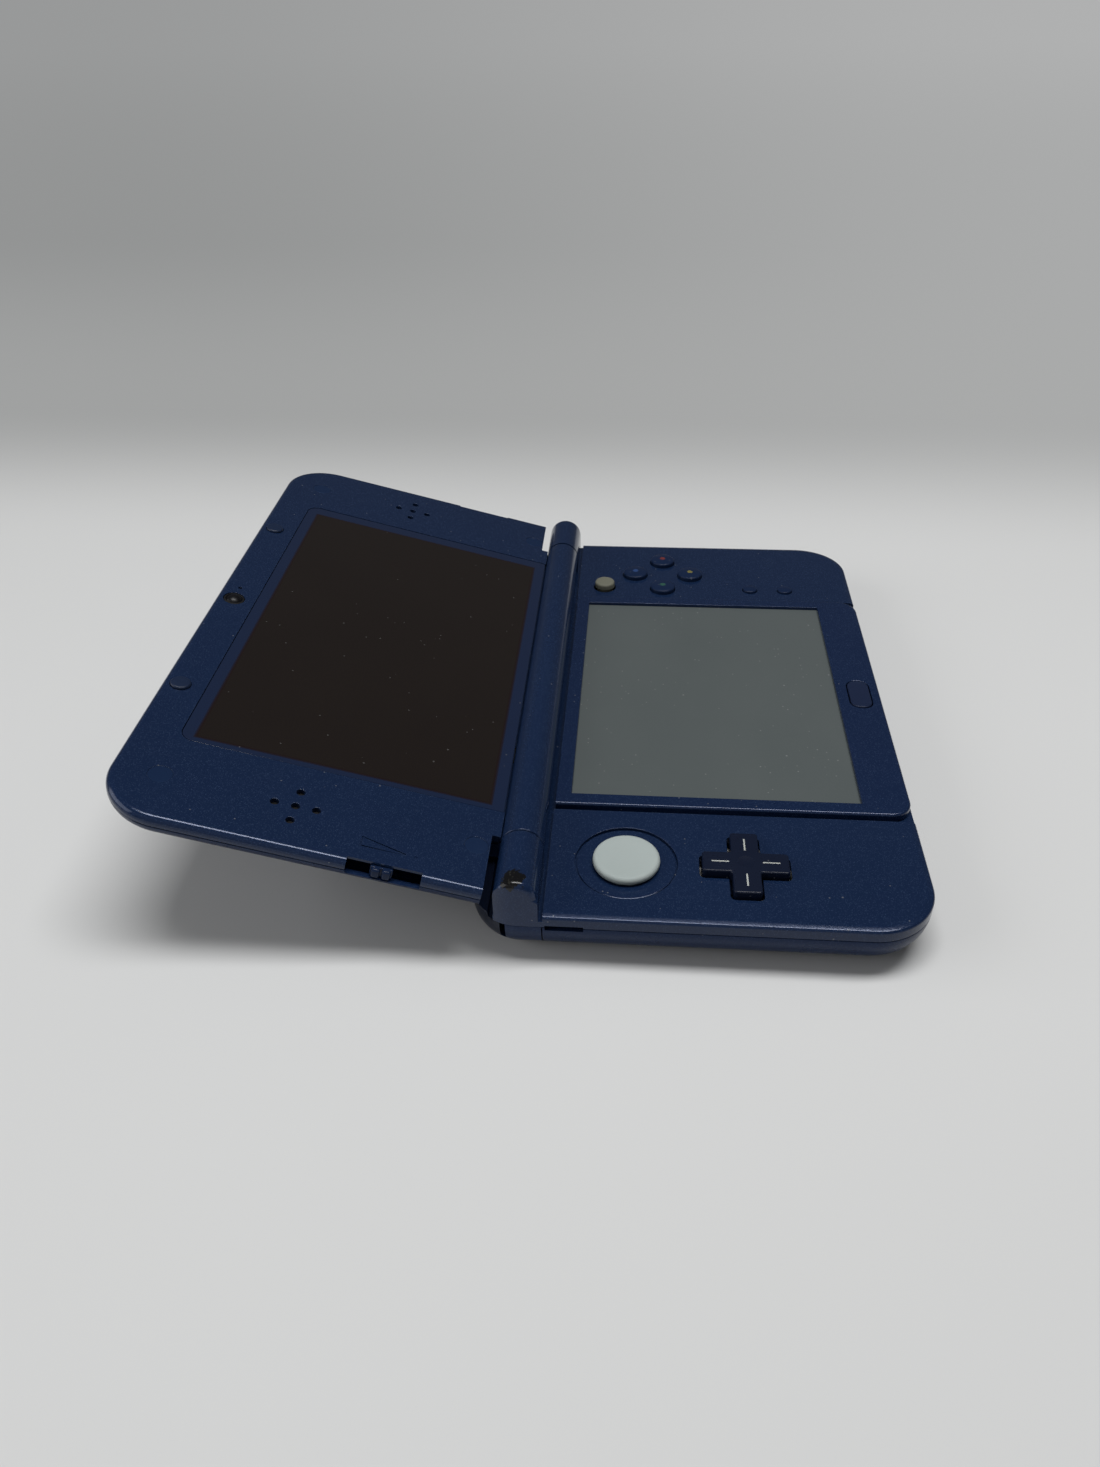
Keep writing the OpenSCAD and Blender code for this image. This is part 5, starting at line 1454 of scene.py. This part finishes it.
    def small_parts(self) -> None:
        """Builds the bumpers, screw caps, cameras and sliders."""
        bumper = Form.turned(0, self.bumper[1], [(2.2, 0.24), (2.2, 0.85), *arc(1.75, 0.85, 0.45, 15, 90, 5),
                                                 (1.0, 1.31), (0.05, 1.32)], 48)
        two = [bumper.copy(Matrix.Translation((s * self.bumper[0], 0, 0))) for s in (-1, 1)]
        two[0].merge(two[1]).done("lid_bumper_pair", "lid", bumper_rubber, "bumper_rubber", "lid_bumpers",
                                  place=Place.LID)
        bumper.drop()
        cap = Form.turned(0, 0, [(2.46, 0.12), (2.46, 0.63), (2.42, 0.66), (2.2, 0.675), (1.1, 0.665), (0.05, 0.66)],
                          48)
        four = [cap.copy(Matrix.Translation((s * x, v, 0))) for s in (-1, 1) for x, v in self.screw_spots]
        four[0].merge(*four[1:]).done("screw_caps", "lid", cap_lacquer, "blue_shell", "screw_covers", place=Place.LID)
        cap.drop()
        self.cameras()
        self.sliders()

    def cameras(self) -> None:
        """Builds the inner camera with its microphone, and the two outer cameras."""
        rim = Form.turned(0, self.camera_v, [(2.5, -0.42), (2.5, 0.45), (2.35, 0.6), (2.1, 0.62), (1.95, 0.35)], 48)
        plate = Form.block((-6.5, self.camera_v - 2.5, -1.9), (6.5, self.camera_v + 2.5, -0.45))
        plate.bevel(upright, 1.0, 5)
        rim.merge(plate, Form.turned(5.2, self.camera_v, [(0.42, -0.5), (0.42, 0.1)], 24))
        rim.done("inner_camera_housing", "lid", dark_plastic, "smoked_window", "inner_camera", place=Place.LID)
        eye = Form.turned(0, self.camera_v, [(1.95, 0.2), *arc(0.0, -1.05, 2.4, 36, 89, 10)], 48)
        eye.done("inner_camera_eye", "lid", camera_glass, "smoked_window", place=Place.LID)
        rims, eyes = [], []
        for s in (-1, 1):
            x, v = self.outer_camera
            flip = Matrix.Translation((s * x, v, 0)) @ Matrix.Rotation(pi, 4, "X")
            ring = Form.turned(0, 0, [(2.5, 2.6), (2.5, 4.8), (2.4, 4.92), (2.1, 4.95), (1.9, 4.7)], 48)
            ring.item.data.transform(flip)
            glass = Form.turned(0, 0, [(1.9, 4.5), *arc(0.0, 2.9, 2.0, 60, 89, 7)], 48)
            glass.item.data.transform(flip)
            rims.append(ring)
            eyes.append(glass)
        bridge = Form.block((-21, self.camera_v - 6.5, -3.9), (21, self.camera_v + 0.5, -3.1))
        bridge.bevel(upright, 1.0, 5)
        rims[0].merge(rims[1], bridge).done("outer_camera_housing", "lid", dark_plastic, "smoked_window",
                                            "outer_cameras", place=Place.LID)
        eyes[0].merge(eyes[1]).done("outer_camera_eyes", "lid", camera_glass, "smoked_window", place=Place.LID)

    def sliders(self) -> None:
        """Builds the two ribbed sliders."""
        for side, name, body, v0, node in ((-1, "volume_knob_cap", "volume_knob", 24.3, "volume_slider"),
                                           (1, "depth_knob_cap", "depth_knob", 19.6, "depth_slider")):
            form = side_block(side, 77.8, 79.0, v0, v0 + 4.5, -2.3, -0.05)
            form.bevel(lambda e: crisp(e, 80), 0.2, 3)
            form.add(side_block(side, 74.5, 77.9, v0 + 1, v0 + 3.5, -1.9, -0.8))
            for i in (0.3, 2.45):
                rib = side_block(side, 78.4, 79.85, v0 + i, v0 + i + 1.75, -2.2, -0.02)
                form.add(rib.bevel(lambda e: crisp(e, 80), 0.5, 4))
            form.done(name, body, key_plastic, "blue_keys", node, place=Place.LID)

    def build(self) -> None:
        """Builds the lid."""
        self.face_shell()
        self.back_shell()
        self.barrel()
        self.lens()
        self.small_parts()


# ---------------------------------------------------------------- carried nodes


@dataclass(frozen=True)
class CarriedParts:
    """CAD nodes that stay as they are and get their finish."""

    finishes: tuple[tuple[Finish, tuple[str, ...]], ...] = (
        (steel, ("cover_screws", "case_screws", "lid_screws", "shoulder_pins", "hinge_clutch", "hinge_bushing")),
        (pressed_steel, ("card_slot", "memory_card_socket")),
        (touch_film, ("touch_panel",)),
        (display_glass, ("lower_display", "upper_display")),
        (board, ("main_board", "wireless_module")),
        (battery_case, ("battery",)),
        (dark_plastic, ("charging_socket", "headphone_socket", "circle_pad_housing", "dpad_pivot", "nub_sensor",
                        "left_speaker", "right_speaker")),
        (smoked_window, ("infrared_window",)),
        (light_guide, ("status_lights",)),
        (white_plastic, ("circle_pad_carriage", "circle_pad_slider")),
        (silicone, ("key_membranes",)),
        (ribbon, ("display_cable",)),
    )

    def dress(self) -> None:
        """Gives each node its finish."""
        for finish, nodes in self.finishes:
            for name in nodes:
                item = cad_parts[name]
                stuff = finish.material()
                if not item.material_slots:
                    item.data.materials.append(stuff)
                for place in item.material_slots:
                    place.material = stuff
                log.info("%s: %s", name, finish.name)


# ---------------------------------------------------------------- studio


@dataclass(frozen=True)
class Backdrop(Finish):
    """Matt pale paper near the object which, further off, glows to the camera alone with a painted room: painted light
    and shade, lighter to the right and changing with distance.
    """

    name: str = "pale_paper_and_painted_room"
    colour: Colour = (0.645, 0.65, 0.648)
    light: Colour = (0.675, 0.68, 0.678)
    # Painted light and shade of a room, which the floor glows with to the camera: darker to the left, lighter to the
    # right, and changing with distance.
    near_left: Colour = (0.352, 0.357, 0.356)
    near_right: Colour = (0.398, 0.403, 0.402)
    mid_left: Colour = (0.292, 0.297, 0.297)
    mid_right: Colour = (0.398, 0.403, 0.403)
    far_left: Colour = (0.314, 0.319, 0.320)
    far_right: Colour = (0.436, 0.440, 0.441)
    aside: Colour = (0.44, 0.445, 0.444)

    def paint(self, w: Weave, shader: bpy.types.Node, at: bpy.types.NodeSocket) -> None:
        """Feeds barely mottled paper near the object and, to the camera alone, a glowing room further off whose light
        and shade are painted.
        """
        parts = w.add("ShaderNodeSeparateXYZ", Vector=at)
        x, y = parts.outputs["X"], parts.outputs["Y"]
        across = w.ramp(w.math("DIVIDE", y, w.plus(w.math("ABSOLUTE", x), 0.234)), 0.5, -0.4)
        near = w.mix(across, rgba(self.near_left), rgba(self.near_right))
        middle = w.mix(across, rgba(self.mid_left), rgba(self.mid_right))
        far = w.mix(across, rgba(self.far_left), rgba(self.far_right))
        room = w.mix(w.ramp(x, 0.22, 0.55), near, middle)
        room = w.mix(w.ramp(x, 0.5, 1.9), room, far)
        room = w.mix(w.ramp(x, 0.0, 0.2), rgba(self.aside), room)
        beside = w.minus(w.math("MAXIMUM", w.math("ABSOLUTE", y), w.times(x, -1.0)), 0.22)
        away = w.ramp(w.math("MAXIMUM", x, w.times(beside, 0.5)), 0.1, 0.225)
        seen = w.add("ShaderNodeLightPath").outputs["Is Camera Ray"]
        floor = w.mix(w.noise(at, 5.0, 3.0), rgba(self.colour), rgba(self.light))
        black = rgba((0.0, 0.0, 0.0))
        # Further off, camera rays see black paper that glows with the painted light and shade of the room; other rays
        # see the lit paper.
        w.put(shader, Base_Color=w.mix(w.times(away, seen), floor, black), Emission_Color=w.mix(away, black, room),
              Emission_Strength=seen, Roughness=w.plus(0.85, w.times(w.noise(at, 900.0), 0.1)),
              Specular_IOR_Level=0.0)


@dataclass(frozen=True)
class Studio:
    """Camera at the photograph's place, pale floor and soft lamps."""

    eye: Point = (-0.233707, 0.016032, 0.172194)
    right: Point = (0.075143, -0.997058, -0.015124)
    down: Point = (-0.595268, -0.032684, -0.802862)
    ahead: Point = (0.800006, 0.069332, -0.595973)
    focal: float = 36.0 * 1113.12 / 1467.0
    floor_size: float = 14.0
    room_light: float = 0.085
    room_colour: float = 0.44

    def camera(self) -> None:
        """Places the camera."""
        data = bpy.data.cameras.new("photo_camera")
        data.sensor_fit, data.sensor_width, data.lens = "AUTO", 36.0, self.focal
        data.clip_start, data.clip_end = 0.005, 20.0
        item = bpy.data.objects.new("photo_camera", data)
        bpy.context.collection.objects.link(item)
        turn = Matrix((self.right, [-c for c in self.down], [-c for c in self.ahead])).transposed()
        item.matrix_world = Matrix.Translation(self.eye) @ turn.to_4x4()
        bpy.context.scene.camera = item

    def floor(self) -> None:
        """Lays the pale floor."""
        bpy.ops.object.select_all(action="DESELECT")
        bpy.ops.mesh.primitive_plane_add(size=self.floor_size, location=(0, 0, 0))
        item = bpy.context.active_object
        item.name = item.data.name = "paper_floor"
        item.data.materials.append(Backdrop().material())

    def room(self) -> None:
        """Sets the world: a weak even light, which the camera alone sees as a pale grey room."""
        world = bpy.data.worlds.new("room")
        world.use_nodes = True
        w = Weave(world.node_tree)
        seen = w.add("ShaderNodeLightPath").outputs["Is Camera Ray"]
        colour = w.mix(seen, rgba((self.room_light,) * 3), rgba((self.room_colour,) * 3))
        w.put(world.node_tree.nodes["Background"], Color=colour)
        bpy.context.scene.world = world

    @staticmethod
    def lamp(name: str, place: Point, aim: Point, size: tuple[float, float], power: float) -> None:
        """Adds a soft area lamp.

        Args:
            name: its name.
            place: where it hangs.
            aim: the point that it faces.
            size: its width and height.
            power: its power in watts.
        """
        data = bpy.data.lights.new(name, "AREA")
        data.shape, data.size, data.size_y = "RECTANGLE", size[0], size[1]
        data.energy = power
        item = bpy.data.objects.new(name, data)
        bpy.context.collection.objects.link(item)
        item.location = place
        item.rotation_euler = (Vector(aim) - Vector(place)).to_track_quat("-Z", "Y").to_euler()

    def build(self) -> None:
        """Sets up the studio."""
        self.camera()
        self.floor()
        self.room()
        self.lamp("softbox_top", (-0.02, -0.08, 0.85), (-0.03, 0.0, 0.0), (0.20, 0.7), 6.2)
        self.lamp("softbox_near", (-0.9, 0.1, 0.5), (-0.05, 0.05, 0.0), (1.2, 1.0), 0.7)
        self.lamp("softbox_left", (-0.25, 0.87, 0.42), (-0.03, 0.06, 0.0), (0.8, 0.6), 2.9)
        bpy.context.scene.view_settings.view_transform = "Standard"


def main() -> None:
    """Builds the studio and the console."""
    logging.basicConfig(level=logging.INFO, format="%(message)s")
    parts = (("studio", Studio()), ("base case", BaseCase()), ("circle pad", CirclePad()), ("cross pad", CrossPad()),
             ("keys", Keys()), ("edge parts", EdgeParts()), ("lid", Lid()))
    for title, part in parts:
        log.info("building the %s", title)
        part.build()
    CarriedParts().dress()
    bpy.context.view_layer.update()


if __name__ == "__main__":
    main()
